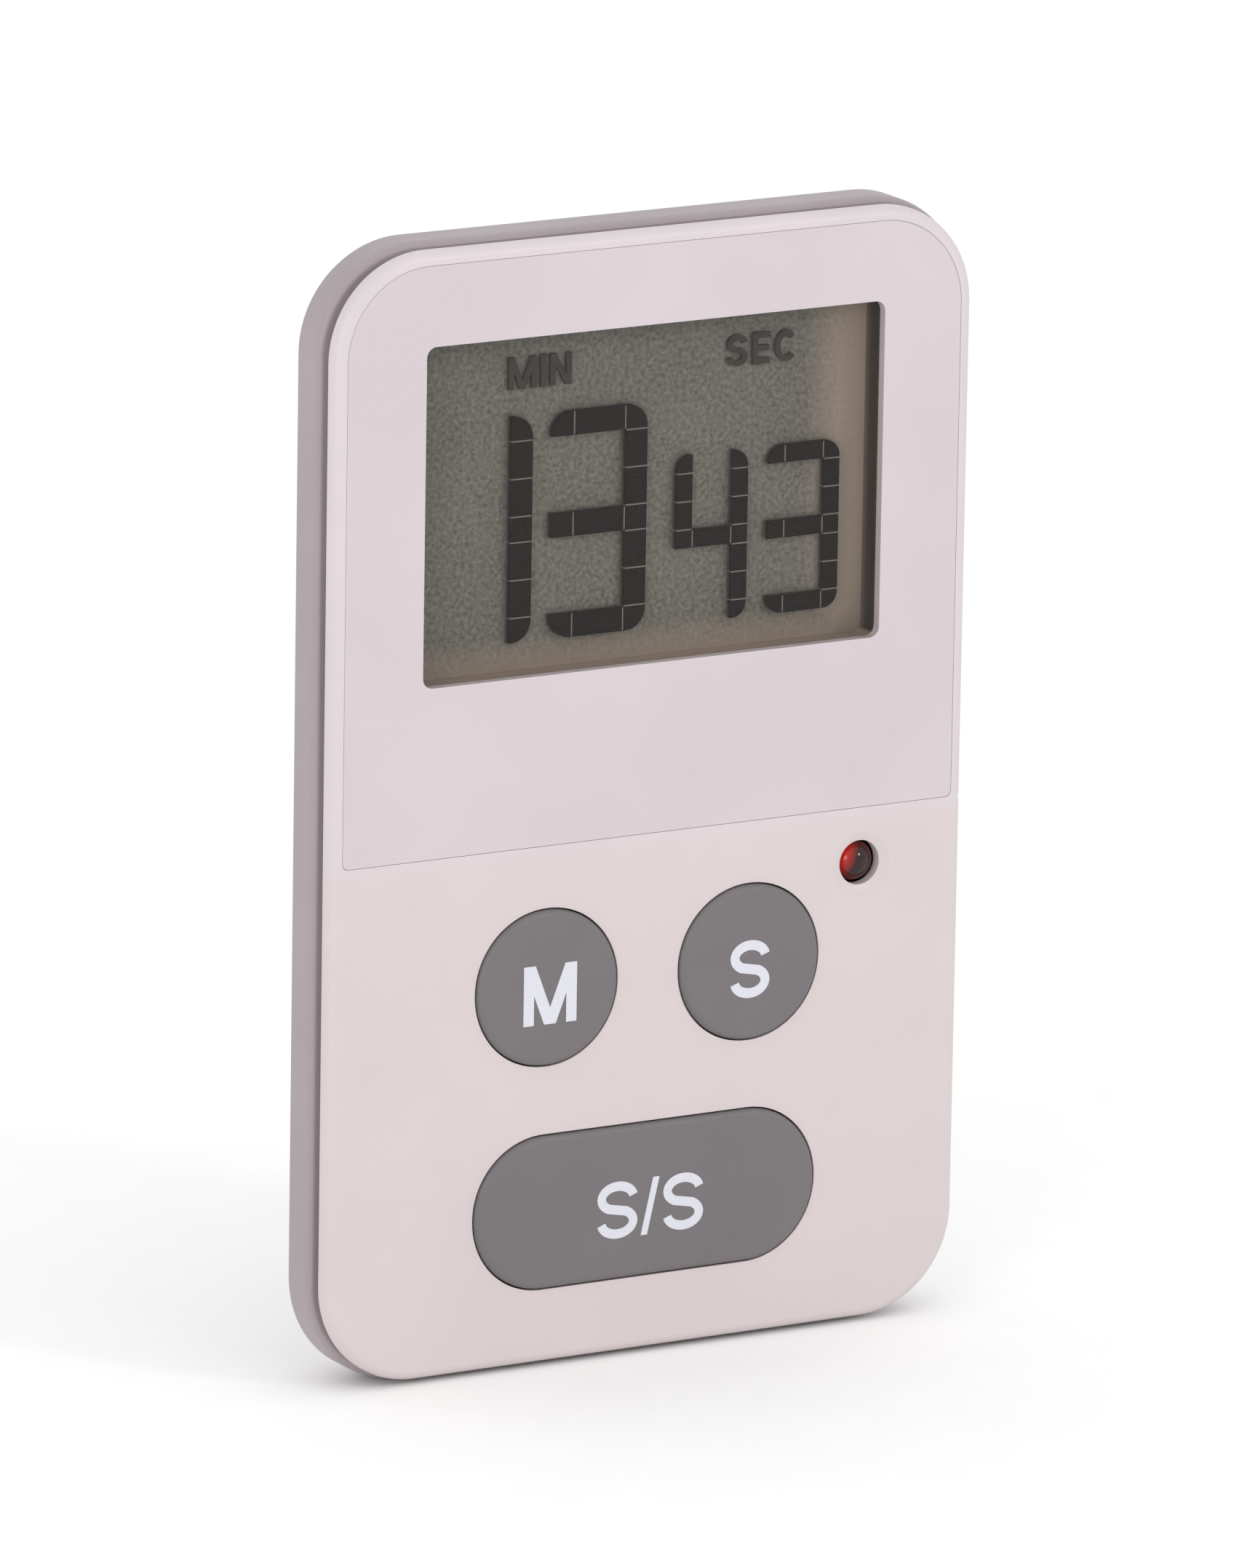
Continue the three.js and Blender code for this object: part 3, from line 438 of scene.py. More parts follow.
def soften(thing, edge=FINE_EDGE, steps=2, angle=32.0):
    """Softens the sharp edges and shades the piece, with flat faces kept flat."""
    if edge:
        apply(
            thing, "BEVEL", width=edge, segments=steps, limit_method="ANGLE",
            angle_limit=math.radians(angle), use_clamp_overlap=True, miter_outer="MITER_ARC",
        )
    edit(thing)
    bpy.ops.mesh.remove_doubles(threshold=SLIVER)
    bpy.ops.mesh.dissolve_degenerate(threshold=SLIVER)
    leave()
    only(thing)
    bpy.ops.object.shade_smooth_by_angle(angle=math.radians(angle))
    apply(thing, "WEIGHTED_NORMAL", keep_sharp=True, weight=100)
    edit(thing, faces=lambda middle, normal: abs(normal.y) > FLAT_LIMIT)
    if any(face.select for face in bmesh.from_edit_mesh(thing.data).faces):
        bpy.ops.mesh.set_normals_from_faces(keep_sharp=True)
    leave()
    return thing


def hand_over(thing, body, slot, finish, *nodes):
    """Brings a piece to metres, rides it on its body, finishes it and lets it stand for CAD nodes."""
    thing.scale = (MM, MM, MM)
    settle(thing)
    thing.data.materials.clear()
    thing.data.materials.append(finishes[finish])
    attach(thing, body)
    if nodes:
        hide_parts(*nodes)
    return thing


# ---------- lettering ----------


def bow(middle_x, middle_z, reach_x, reach_z, start, end, steps):
    """Points of (x, z) along an ellipse between two angles in degrees."""
    turns = [math.radians(start + (end - start) * step / steps) for step in range(steps + 1)]
    return [(middle_x + reach_x * math.cos(turn), middle_z + reach_z * math.sin(turn)) for turn in turns]


def stroke(name, points, weight, front, back):
    """A line through points of (x, z) with a weight and two depths."""
    thing = drawn(name, [at(x, front, z) for x, z in points])
    bpy.ops.mesh.extrude_region_move(TRANSFORM_OT_translate={"value": Vector((0, back - front, 0))})
    leave()
    apply(thing, "SOLIDIFY", thickness=weight, offset=0, use_even_offset=True)
    edit(thing)
    bpy.ops.mesh.normals_make_consistent(inside=False)
    leave()
    return thing


def leaning(name, low_left, high_left, weight, low, high, front, back):
    """A straight bar with flat ends: the lower one starts at low_left and the upper one at high_left."""
    thing = block(name, at(low_left, front, low), at(low_left + weight, back, high))
    edit(thing, faces=lambda middle, normal: normal.z > 0.99)
    bpy.ops.transform.translate(value=(high_left - low_left, 0, 0))
    leave()
    return thing


def letter(sign, left, low, width, height, weight, front, back):
    """One plain capital or slash, in strokes of one weight."""
    high, right, half = low + height, left + width, weight / 2
    middle = left + width / 2
    if sign == "S":
        reach_x, reach_z = (width - weight) / 2, (height - weight) / 4
        upper = bow(middle, high - half - reach_z, reach_x, reach_z, 8, 238, 20)
        lower = bow(middle, low + half + reach_z, reach_x, reach_z, 58, -172, 20)
        return stroke(sign, upper + lower, weight, front, back)
    if sign == "C":
        points = bow(middle, low + height / 2, (width - weight) / 2, (height - weight) / 2, 42, 318, 28)
        return stroke(sign, points, weight, front, back)
    inner = right - weight
    broad = 1.12 * weight          # a slanting stroke is measured level, so it is broader
    bars = {
        "/": [(left, inner, weight)],
        "I": [(left, left, weight)],
        "M": [
            (left, left, weight), (inner, inner, weight),
            (middle - broad / 2, left, broad), (middle - broad / 2, right - broad, broad),
        ],
        "N": [(left, left, weight), (inner, inner, weight), (right - broad, left, broad)],
        "E": [(left, left, weight)],
    }[sign]
    made = [leaning(sign, lower, upper, across, low, high, front, back) for lower, upper, across in bars]
    if sign == "E":
        for level, reach in ((low + half, width), (low + height / 2, width * 0.92), (high - half, width)):
            made.append(stroke(sign, [(left + half, level), (left + reach, level)], weight, front, back))
    return weld(made[0], *made[1:])


# ---------- finishes ----------


class Number:
    """A shader value that can be worked with as in ordinary arithmetic."""

    def __init__(self, finish, socket):
        self.finish = finish
        self.socket = socket

    def _math(self, operation, first, second, clamp=False):
        settings = {"operation": operation, "use_clamp": clamp}
        node = self.finish.node("ShaderNodeMath", settings, {0: first, 1: second})
        return Number(self.finish, node.outputs[0])

    def __add__(self, other):
        return self._math("ADD", self, other)

    def __sub__(self, other):
        return self._math("SUBTRACT", self, other)

    def __rsub__(self, other):
        return self._math("SUBTRACT", other, self)

    def __mul__(self, other):
        return self._math("MULTIPLY", self, other)

    def __truediv__(self, other):
        return self._math("DIVIDE", self, other)

    __radd__ = __add__
    __rmul__ = __mul__

    def power(self, other):
        return self._math("POWER", self, other)

    def highest(self, other):
        return self._math("MAXIMUM", self, other)

    def clamped(self):
        return self._math("ADD", self, 0.0, clamp=True)

    def ramp(self, start, end):
        """0 at start and 1 at end, straight between and level beyond."""
        return ((self - start) / (end - start)).clamped()


def tint(red, green, blue):
    """A shader colour from screen values of 0 to 255."""
    def one(value):
        value /= 255
        return value / 12.92 if value <= 0.04045 else ((value + 0.055) / 1.055) ** 2.4
    return (one(red), one(green), one(blue), 1.0)


class Finish:
    """One procedural material: a Principled shader and the nodes that drive it."""

    def __init__(self, name, color, roughness, **constants):
        self.material = bpy.data.materials.new(name)
        self.material.use_nodes = True
        self.tree = self.material.node_tree
        self.shader = self.tree.nodes["Principled BSDF"]
        self.shader.inputs["Base Color"].default_value = color
        self.shader.inputs["Roughness"].default_value = roughness
        for key, value in constants.items():
            self.shader.inputs[key.replace("_", " ")].default_value = value
        self.place = self.node("ShaderNodeTexCoord").outputs["Object"]

    def node(self, kind, settings=None, values=None):
        """Adds a node: its type, its settings, and the values or links of its sockets."""
        node = self.tree.nodes.new(kind)
        for key, value in (settings or {}).items():
            if key == "stops":
                elements = node.color_ramp.elements
                while len(elements) < len(value):
                    elements.new(1.0)
                for element, (position, color) in zip(elements, value):
                    element.position = position
                    element.color = color
            else:
                setattr(node, key, value)
        for key, value in (values or {}).items():
            self.feed(node.inputs[key], value)
        return node

    def feed(self, socket, value):
        if isinstance(value, Number):
            value = value.socket
        if isinstance(value, bpy.types.NodeSocket):
            self.tree.links.new(value, socket)
        else:
            socket.default_value = value

    def drive(self, name, value):
        self.feed(self.shader.inputs[name], value)

    def axis(self, name):
        """One coordinate of the surface point, in millimetres."""
        parts = self.node("ShaderNodeSeparateXYZ", values={0: self.place})
        return Number(self, parts.outputs[name]) / MM

    def depth(self):
        """The surface point's depth behind the front face, in millimetres."""
        return self.axis("Y") - FRONT_Y

    def noise(self, size, detail=2.0, roughness=0.5, stretch=(1, 1, 1)):
        """Cloudy noise about 0.5 whose grain is size millimetres."""
        mapping = self.node("ShaderNodeMapping", values={"Vector": self.place, "Scale": stretch})
        texture = self.node("ShaderNodeTexNoise", values={
            "Vector": mapping.outputs[0], "Scale": 1 / (size * MM), "Detail": detail, "Roughness": roughness,
        })
        return Number(self, texture.outputs[0])

    def mix(self, factor, first, second):
        """A colour between two colours."""
        node = self.node("ShaderNodeMix", {"data_type": "RGBA"}, {0: factor, 6: first, 7: second})
        return node.outputs[2]

    def blend_stops(self, factor, stops):
        """A colour from a ramp of (position, colour)."""
        return self.node("ShaderNodeValToRGB", {"stops": stops}, {0: factor}).outputs[0]

    def grain(self, height, strength, tall):
        """Bump from a height value. Tall is in millimetres."""
        values = {"Height": height, "Strength": strength, "Distance": tall * MM}
        self.drive("Normal", self.node("ShaderNodeBump", values=values).outputs[0])


def moulded(name, color, shade, roughness, texture, tall, **constants):
    """Moulded plastic: fine spark-eroded grain, slow colour drift and slightly uneven gloss."""
    finish = Finish(name, color, roughness, **constants)
    cloud = finish.noise(9.0, 3.0)
    fine = finish.noise(texture, 2.0, 0.6)
    finish.drive("Base Color", finish.mix((cloud * 0.7 + fine * 0.3).ramp(0.3, 0.7), color, shade))
    finish.drive("Roughness", (fine - 0.5) * 0.16 + (cloud - 0.5) * 0.08 + roughness)
    finish.grain(fine + finish.noise(texture * 2.7, 1.0) * 0.6, 0.5, tall)
    return finish


def white_plastic():
    """Satin white plastic, a shade cooler beside the window panel than round the keys."""
    color, shade = tint(207, 195, 195), tint(203, 192, 193)
    finish = moulded("white satin plastic", color, shade, 0.42, 0.22, 0.006)
    beside = (finish.axis("Z") - LENS_LOW.z).ramp(-1.2, 0.2)
    cloud = finish.noise(9.0, 3.0).ramp(0.3, 0.7)
    warm = finish.mix(cloud, color, shade)
    cool = finish.mix(cloud, tint(207, 197, 202), tint(203, 194, 198))
    finish.drive("Base Color", finish.mix(beside, warm, cool))
    return finish


def granular(name, color, shade, roughness, size=0.3, tall=0.012):
    """A plain body with a granular surface."""
    finish = Finish(name, color, roughness)
    grains = finish.noise(size, 3.0, 0.65)
    finish.drive("Base Color", finish.mix(grains.ramp(0.3, 0.7), color, shade))
    finish.drive("Roughness", (grains - 0.5) * 0.2 + roughness)
    finish.grain(grains, 0.5, tall)
    return finish


def metal(name, color, shade, roughness):
    """Plated or rolled metal with fine lines."""
    finish = Finish(name, color, roughness, Metallic=1.0)
    lines = finish.noise(0.5, 3.0, 0.6, (1, 1, 12))
    finish.drive("Base Color", finish.mix(lines.ramp(0.3, 0.75), color, shade))
    finish.drive("Roughness", (lines - 0.5) * 0.25 + roughness)
    finish.grain(lines, 0.3, 0.005)
    return finish


def clear_sheet(name, gloss, roughness):
    """A sheet that lets light straight through and mirrors a little of it, more at a glance."""
    finish = Finish(name, (1, 1, 1, 1), roughness)
    through = finish.node("ShaderNodeBsdfTransparent", values={"Color": (1, 1, 1, 1)})
    shine = finish.node("ShaderNodeBsdfGlossy", values={"Color": (1, 1, 1, 1), "Roughness": roughness})
    glance = Number(finish, finish.node("ShaderNodeFresnel", values={"IOR": 1.45}).outputs[0])
    share = (glance * (finish.noise(3.0) * 0.1 + 0.95) * gloss).clamped()
    blend = finish.node("ShaderNodeMixShader", values={0: share, 1: through.outputs[0], 2: shine.outputs[0]})
    finish.tree.links.new(blend.outputs[0], finish.tree.nodes["Material Output"].inputs["Surface"])
    return finish


def window_print():
    finish = Finish("pale window print", tint(221, 210, 218), 0.35)
    cloud = finish.noise(14.0, 2.0)
    finish.drive("Base Color", finish.mix(cloud.ramp(0.35, 0.65), tint(202, 192, 196), tint(198, 188, 192)))
    finish.drive("Roughness", (finish.noise(0.4) - 0.5) * 0.1 + 0.35)
    return finish


def display_ground():
    """The grey ground of the display: finely grained, with painted light that makes it warmer and brighter
    along its right and lower edges.
    """
    finish = Finish("display ground", tint(101, 98, 93), 0.6, Specular_IOR_Level=0.1)
    x, z = finish.axis("X"), finish.axis("Z")
    grain = finish.noise(0.35, 3.0, 0.7)
    cloud = finish.noise(5.0, 2.0)
    plain = finish.mix((grain * 0.9 + cloud * 0.1).ramp(0.35, 0.65), tint(80, 77, 70), tint(120, 116, 108))
    # painted light: a warm, brighter band along the right and lower edges of the ground
    warm = (x.ramp(14.4, 18.9) * 0.8).highest((1 - z.ramp(9.8, 12.4)) * 0.6)
    finish.drive("Base Color", finish.mix(warm, plain, tint(166, 147, 131)))
    finish.drive("Roughness", (grain - 0.5) * 0.3 + 0.6)
    return finish


def segment_ink_and_painted_shadow():
    """Dark display ink, with painted shadow on the sides: they stand for the figure's shadow on the ground
    behind and go over to a colour near the ground's towards the back.
    """
    finish = Finish("display segment ink and painted shadow", tint(44, 40, 37), 0.6, Specular_IOR_Level=0.05)
    # painted shadow: the sides go from ink at the front to a colour near the ground's at the back
    painted_shadow_depth = finish.depth().ramp(2.5, 3.1)
    ink = finish.mix(finish.noise(0.5), tint(30, 27, 24), tint(25, 22, 20))
    finish.drive("Base Color", finish.mix(painted_shadow_depth, ink, tint(92, 88, 82)))
    finish.drive("Roughness", (finish.noise(0.5) - 0.5) * 0.1 + 0.6)
    return finish


def well_painted_shade():
    """Painted shade on the display's well: its wall is coloured dark as it lies in shade, with painted light
    at its two edges and along its floor.
    """
    finish = Finish("display well painted shade", tint(60, 54, 48), 0.5, Specular_IOR_Level=0.1)
    deep = finish.depth() + (finish.noise(0.8) - 0.5) * 0.15
    # painted shade through the middle of the wall and painted light near its front and back edges
    wall = finish.blend_stops(deep.ramp(0.8, 3.1), [
        (0.0, tint(84, 79, 73)), (0.3, tint(58, 52, 46)), (0.65, tint(60, 53, 47)), (1.0, tint(112, 100, 90)),
    ])
    # painted light along the well's floor
    floor = 1 - (finish.axis("Z") - WINDOW_Z + WINDOW_HEIGHT / 2).ramp(0.0, 0.25)
    finish.drive("Base Color", finish.mix(floor, wall, tint(150, 134, 121)))
    finish.drive("Roughness", (finish.noise(0.3) - 0.5) * 0.1 + 0.5)
    return finish


def key_legend():
    finish = Finish("white key legend", tint(222, 222, 229), 0.45)
    finish.drive("Base Color", finish.mix(finish.noise(0.35, 3.0), tint(214, 215, 223), tint(204, 205, 214)))
    finish.drive("Roughness", (finish.noise(0.2) - 0.5) * 0.1 + 0.45)
    finish.grain(finish.noise(0.12), 0.4, 0.004)
    return finish


def lamp_resin():
    """Deep red resin with painted light: a painted bright side where light gathers in the dome, a painted
    lighter edge, and the dark cup inside showing in the middle.
    """
    finish = Finish("red lamp resin", tint(96, 30, 28), 0.06, Specular_IOR_Level=0.4)
    x, z = finish.axis("X") - LED_X, finish.axis("Z") - LED_Z
    # painted light: one side of the dome painted bright red
    painted_lit_side = (z * 0.35 - x * 0.85).ramp(0.35, 1.3)
    # painted light towards the dome's edge; the dark cup inside shows in the middle
    rim = (x * x + z * z).power(0.5).ramp(0.95, 1.55)
    dark = finish.mix(rim, tint(40, 19, 16), tint(104, 40, 32))
    finish.drive("Base Color", finish.mix(painted_lit_side, dark, tint(206, 34, 26)))
    finish.drive("Roughness", finish.noise(0.5) * 0.04 + 0.05)
    return finish


def solder_mask():
    finish = Finish("green solder mask", tint(38, 96, 62), 0.35, Coat_Weight=0.4, Coat_Roughness=0.15)
    weave = finish.node("ShaderNodeTexWave", {"bands_direction": "X"}, {
        "Vector": finish.place, "Scale": 1 / (24 * MM), "Distortion": 6.0,
    })
    tracks = Number(finish, weave.outputs[0]).ramp(0.45, 0.55)
    finish.drive("Base Color", finish.mix(tracks * 0.5, tint(34, 88, 56), tint(56, 120, 78)))
    finish.drive("Roughness", (finish.noise(0.4) - 0.5) * 0.1 + 0.35)
    finish.grain(tracks, 0.5, 0.02)
    return finish


def striped_rubber():
    finish = Finish("striped contact rubber", tint(206, 210, 212), 0.7)
    stripes = finish.node("ShaderNodeTexWave", {"bands_direction": "X"}, {
        "Vector": finish.place, "Scale": 1 / (4 * MM),
    })
    finish.drive("Base Color", finish.mix(
        Number(finish, stripes.outputs[0]).ramp(0.4, 0.6), tint(206, 210, 212), tint(60, 60, 62),
    ))
    finish.drive("Roughness", (finish.noise(0.3) - 0.5) * 0.1 + 0.7)
    return finish


# Each record slot's finish. The last four are used on pieces only.
finishes = {name: made.material for name, made in {
    "white_case": white_plastic(),
    "grey_case": moulded("warm grey plastic", tint(160, 149, 153), tint(154, 143, 147), 0.42, 0.2, 0.012),
    "key_plastic": moulded("mid grey key plastic", tint(110, 105, 107), tint(106, 101, 104), 0.5, 0.2, 0.008),
    "retainer_plastic": moulded(
        "plain white plastic", tint(230, 230, 226), tint(222, 222, 218), 0.5, 0.3, 0.01,
    ),
    "window_panel": clear_sheet("clear acrylic", 0.22, 0.05),
    "display_glass": clear_sheet("thin clear glass", 0.2, 0.1),
    "display_film": clear_sheet("polarising film", 0.4, 0.35),
    "display_reflector": display_ground(),
    "red_lamp": lamp_resin(),
    "steel": metal("nickel plated steel", tint(196, 198, 202), tint(160, 162, 168), 0.26),
    "brass": metal("rolled brass", tint(214, 178, 104), tint(176, 140, 78), 0.3),
    "magnet": granular("dark ferrite", tint(58, 57, 60), tint(44, 43, 46), 0.55),
    "board": solder_mask(),
    "epoxy": granular("black epoxy", tint(30, 30, 32), tint(22, 22, 24), 0.3),
    "ceramic": granular("fired ceramic", tint(216, 196, 160), tint(196, 172, 132), 0.5),
    "tape": granular("foam tape", tint(228, 228, 224), tint(214, 214, 210), 0.8),
    "contact_rubber": striped_rubber(),
    "key_rubber": granular("grey silicone", tint(200, 204, 205), tint(186, 190, 192), 0.7),
    "carbon_rubber": granular("carbon rubber", tint(38, 38, 40), tint(28, 28, 30), 0.85),
    "wire_red": granular("red insulation", tint(168, 44, 38), tint(150, 36, 32), 0.4),
    "wire_black": granular("black insulation", tint(42, 42, 46), tint(32, 32, 34), 0.4),
    "window_print": window_print(),
    "segment_ink_and_painted_shadow": segment_ink_and_painted_shadow(),
    "well_painted_shade": well_painted_shade(),
    "display_hairline": granular("display hairline", tint(112, 108, 101), tint(98, 95, 88), 0.7, 0.2),
    "legend": key_legend(),
}.items()}


# ---------- front cover ----------


def outline_plate(name, low, high, corner, inset, front, back, straight_low=None):
    """A plate on a rounded outline, drawn in by an inset. Its lower edge may be straight at a height."""
    bottom = low.z + inset if straight_low is None else straight_low
    thing = block(name, at(low.x + inset, front, bottom), at(high.x - inset, back, high.z - inset))
    round_corners(thing, corner - inset, lambda middle: straight_low is None or middle.z > 0, 24)
    return thing


def window_plate(name, grow, front, back):
    """The window panel's outline: round upper corners that follow the case and small lower ones."""
    inset = LENS_LOW.x - FRONT_LOW.x - grow
    low = LENS_LOW.z - grow
    thing = outline_plate(name, FRONT_LOW, FRONT_HIGH, CORNER, inset, front, back, straight_low=low)
    return round_corners(thing, LENS_LOW_CORNER, lambda middle: middle.z < 0, 6)


def window_opening(name, grow, front, back):
    half_width, half_height = WINDOW_WIDTH / 2 + grow, WINDOW_HEIGHT / 2 + grow
    return slab(
        name, -half_width, half_width, WINDOW_Z - half_height, WINDOW_Z + half_height,
        front, back, WINDOW_CORNER + max(grow, 0) * 0.3, 8,
    )


def key_plate(name, node, grow, front, back):
    """A round-ended plate that follows a key's cap."""
    x, z, half_width, half_height = middle_of(node)
    half_width += grow - KEY_FLANGE
    half_height += grow - KEY_FLANGE
    return slab(
        name, x - half_width, x + half_width, z - half_height, z + half_height, front, back, half_height, 24,
    )


def screw_places():
    return [(side * SCREW_X, end * SCREW_Z) for side in (-1, 1) for end in (-1, 1)]


def make_front_cover():
    def plate(name, inset, front, back, straight_low=None):
        return outline_plate(name, FRONT_LOW, FRONT_HIGH, CORNER, inset, front, back, straight_low)

    cover = plate("front_cover_shell", 0, COVER_ROUND, COVER_EDGE)
    carry_end(cover, -1, quarter(COVER_ROUND, COVER_ROUND, 8))
    weld(cover, plate("lip", LIP_INSET, COVER_ROUND, LIP_DEPTH))
    step = LENS_LOW.z - COVER_SKIN
    inside = LIP_INSET + LIP_WALL
    shallow = plate("inside", inside, COVER_SKIN, SEAT_SKIN + 0.1)
    cut(shallow, block("above", at(-40, 0, step), at(40, LIP_DEPTH, 60)))
    cut(cover, plate("seat", inside, SEAT_SKIN, LIP_DEPTH + CUT), shallow)
    weld(cover, window_opening("collar", COLLAR, SEAT_SKIN - 0.2, COLLAR_DEPTH))
    cut(
        cover,
        window_opening("opening", WINDOW_REVEAL, -CUT, LIP_DEPTH),
        *[key_plate("hole", node, KEY_GAP, -CUT, LIP_DEPTH) for node in KEYS],
        turned("lamp_hole", [
            (0, -CUT), (LED_MOUTH, -CUT), (LED_MOUTH, 0), (LED_HOLE, LED_CHAMFER),
            (LED_HOLE, LIP_DEPTH), (0, LIP_DEPTH),
        ], LED_X, LED_Z),
    )
    for x, z in screw_places():
        post = turned("post", [
            (0, POST_FRONT), (POST_RADIUS, POST_FRONT), (POST_RADIUS, POST_END), (0, POST_END),
        ], x, z, 32)
        pilot = turned("pilot", [
            (0, PILOT_FRONT), (PILOT_RADIUS, PILOT_FRONT), (PILOT_RADIUS, POST_END + 1), (0, POST_END + 1),
        ], x, z, 24)
        weld(cover, cut(post, pilot))
    soften(cover, COVER_SOFTENING)
    notch = block(
        "pry_notch", at(FRONT_HIGH.x - NOTCH_BITE, -1, LENS_LOW.z - NOTCH_BELOW),
        at(28, LIP_DEPTH, LENS_LOW.z + NOTCH_ABOVE),
    )
    cut(cover, window_plate("recess", SEAT_PLAY, -CUT, SEAT_DEPTH), notch)
    hand_over(soften(cover, 0), "case", "white_case", "white_case", "front_cover")


# ---------- window and display ----------

SEGMENT_FRONT = 2.44
GROUND_FRONT = 3.05
SEGMENT_SPLIT = 0.11
CAPTION_FRONT = 2.72
SPLIT_SINK = 0.02              # how far a hairline lies behind the face of its figure
FIGURE_WEIGHT = 0.1125         # a figure's stroke, as a share of its height
FIGURE_LOW = 12.0
CAPTION_LOW = 31.1
CAPTION_HEIGHT = 2.4
CAPTION_WEIGHT = 0.44
FIGURES = {
    "1": ["..#"] * 7,
    "3": ["###", "..#", "..#", "###", "..#", "..#", "###"],
    "4": ["#.#", "#.#", "#.#", "###", "..#", "..#", "..#"],
}


def make_window():
    panel = window_plate("window_panel_face", 0, 0, LENS_THICK)
    cut(panel, window_opening("opening", 0, -CUT, CUT))
    hand_over(soften(panel, 0.02), "case", "window_panel", "window_print", "display_lens")
    pane = window_opening("window_lens", -PANE_PLAY, PANE_SINK, LENS_THICK)
    hand_over(soften(pane, 0.02), "case", "window_panel", "window_panel")


def make_figure(sign, left, low, width, height):
    """One figure in dark tiles with rounded outer corners, and the pale hairlines between them."""
    weight = height * FIGURE_WEIGHT
    tall = (height - 3 * weight) / 4
    columns = [left, left + weight, left + width - weight, left + width]
    rows = [low + height]
    for row in range(7):
        rows.append(rows[-1] - (tall if row % 3 else weight))
    half = SEGMENT_SPLIT / 2
    tiles, splits = [], []
    for row, line in enumerate(FIGURES[sign]):
        for column, cell in enumerate(line):
            if cell == ".":
                continue
            # the tiles reach back to the ground, so that their dark sides stand for the figure's painted
            # shadow
            tile_low = at(columns[column] + half, SEGMENT_FRONT, rows[row + 1] + half)
            tile_high = at(columns[column + 1] - half, GROUND_FRONT, rows[row] - half)
            tile = block("tile", tile_low, tile_high)
            if row in (0, 6) and column in (0, 2):
                centre = (tile_low + tile_high) / 2
                side, end = column - 1, 1 - row / 3
                round_corners(
                    tile, weight * 0.85,
                    lambda middle: (middle.x - centre.x) * side > 0 and (middle.z - centre.z) * end > 0, 10,
                )
            tiles.append(tile)
            if line[column + 1:column + 2] == "#":
                splits.append(block(
                    "split", Vector((tile_high.x - half, tile_low.y + SPLIT_SINK, tile_low.z + half)),
                    Vector((tile_high.x + 3 * half, tile_high.y, tile_high.z - half)),
                ))
            if row < 6 and FIGURES[sign][row + 1][column] == "#":
                splits.append(block(
                    "split", Vector((tile_low.x + half, tile_low.y + SPLIT_SINK, tile_low.z - 3 * half)),
                    Vector((tile_high.x - half, tile_high.y, tile_low.z + half)),
                ))
    return tiles, splits


def make_display():
    made, hairlines = [], []
    for sign, left, width, height in (
        ("1", -17.2, 8.2, 17.2), ("3", -7.5, 8.2, 17.2), ("4", 3.15, 6.2, 12.9), ("3", 11.0, 6.2, 12.9),
    ):
        tiles, splits = make_figure(sign, left, FIGURE_LOW, width, height)
        made += tiles
        hairlines += splits
    hand_over(soften(joined("display_hairlines", hairlines), 0), "case", "display_film", "display_hairline")
    for sign, left, width in (
        ("M", -11.0, 2.35), ("I", -8.3, 0.46), ("N", -7.5, 1.8),
        ("S", 7.5, 1.75), ("E", 9.7, 1.5), ("C", 11.6, 1.9),
    ):
        # the captions also reach back to the ground, so that their sides show as painted shadow
        made.append(letter(
            sign, left, CAPTION_LOW, width, CAPTION_HEIGHT, CAPTION_WEIGHT, CAPTION_FRONT, GROUND_FRONT,
        ))
    segments = joined("display_segments", made)
    hand_over(
        soften(segments, 0), "case", "display_film", "segment_ink_and_painted_shadow", "lcd_front_polariser", "lcd_front_glass",
    )
    low, high = box("lcd_rear_glass")
    ground = slab(
        "display_ground", low.x, high.x, low.z, high.z, GROUND_FRONT, high.y - FRONT_Y, 0.3, 4,
    )
    hand_over(soften(ground, 0.05), "case", "display_reflector", "display_reflector", "lcd_rear_glass")
    # a dark lining in the well stands for the shade on its white walls, coloured with painted shade and
    # painted light
    well = window_opening("display_well_shade_lining", WINDOW_REVEAL - 0.02, SEAT_DEPTH, GROUND_FRONT - 0.02)
    cut(well, window_opening("opening", WINDOW_REVEAL - 0.12, 0, LIP_DEPTH + CUT))
    hand_over(soften(well, 0), "case", "display_film", "well_painted_shade")


# ---------- keys ----------


def make_keys():
    for node, body in KEYS.items():
        cap = key_plate(node + "_cap", node, 0, KEY_ROUND - KEY_PROUD, KEY_FLANGE_BACK)
        carry_end(cap, -1, quarter(KEY_ROUND, KEY_ROUND, 8))
        x, z, _, _ = middle_of(node)
        weld(
            cap,
            key_plate("flange", node, KEY_FLANGE, KEY_FLANGE_FRONT, KEY_FLANGE_BACK + 0.001),
            turned("pusher", [
                (0, KEY_FLANGE_FRONT + 0.1), (PUSHER_RADIUS, KEY_FLANGE_FRONT + 0.1),
                (PUSHER_RADIUS, PUSHER_BACK), (0, PUSHER_BACK),
            ], x, z, 48),
        )
        hand_over(soften(cap, 0.06), body, "key_plastic", "key_plastic", node)
    top, under = -KEY_PROUD - LEGEND_PROUD, 0.05 - KEY_PROUD
    for name, body, signs, low, height in (
        ("legend_minutes", "minutes_key", [("M", -10.75, 4.5, 0.88)], -16.5, 4.55),
        ("legend_seconds", "seconds_key", [("S", 6.9, 3.38, 0.76)], -16.5, 4.45),
        ("legend_start_stop", "start_stop_key", [
            ("S", -4.2, 3.45, 0.72), ("/", -0.45, 1.55, 0.54), ("S", 1.45, 3.45, 0.72),
        ], -33.75, 4.4),
    ):
        letters = [
            letter(sign, left, low, width, height, weight, top, under) for sign, left, width, weight in signs
        ]
        hand_over(soften(joined(name, letters), 0), body, "white_case", "legend")


# ---------- lamp ----------


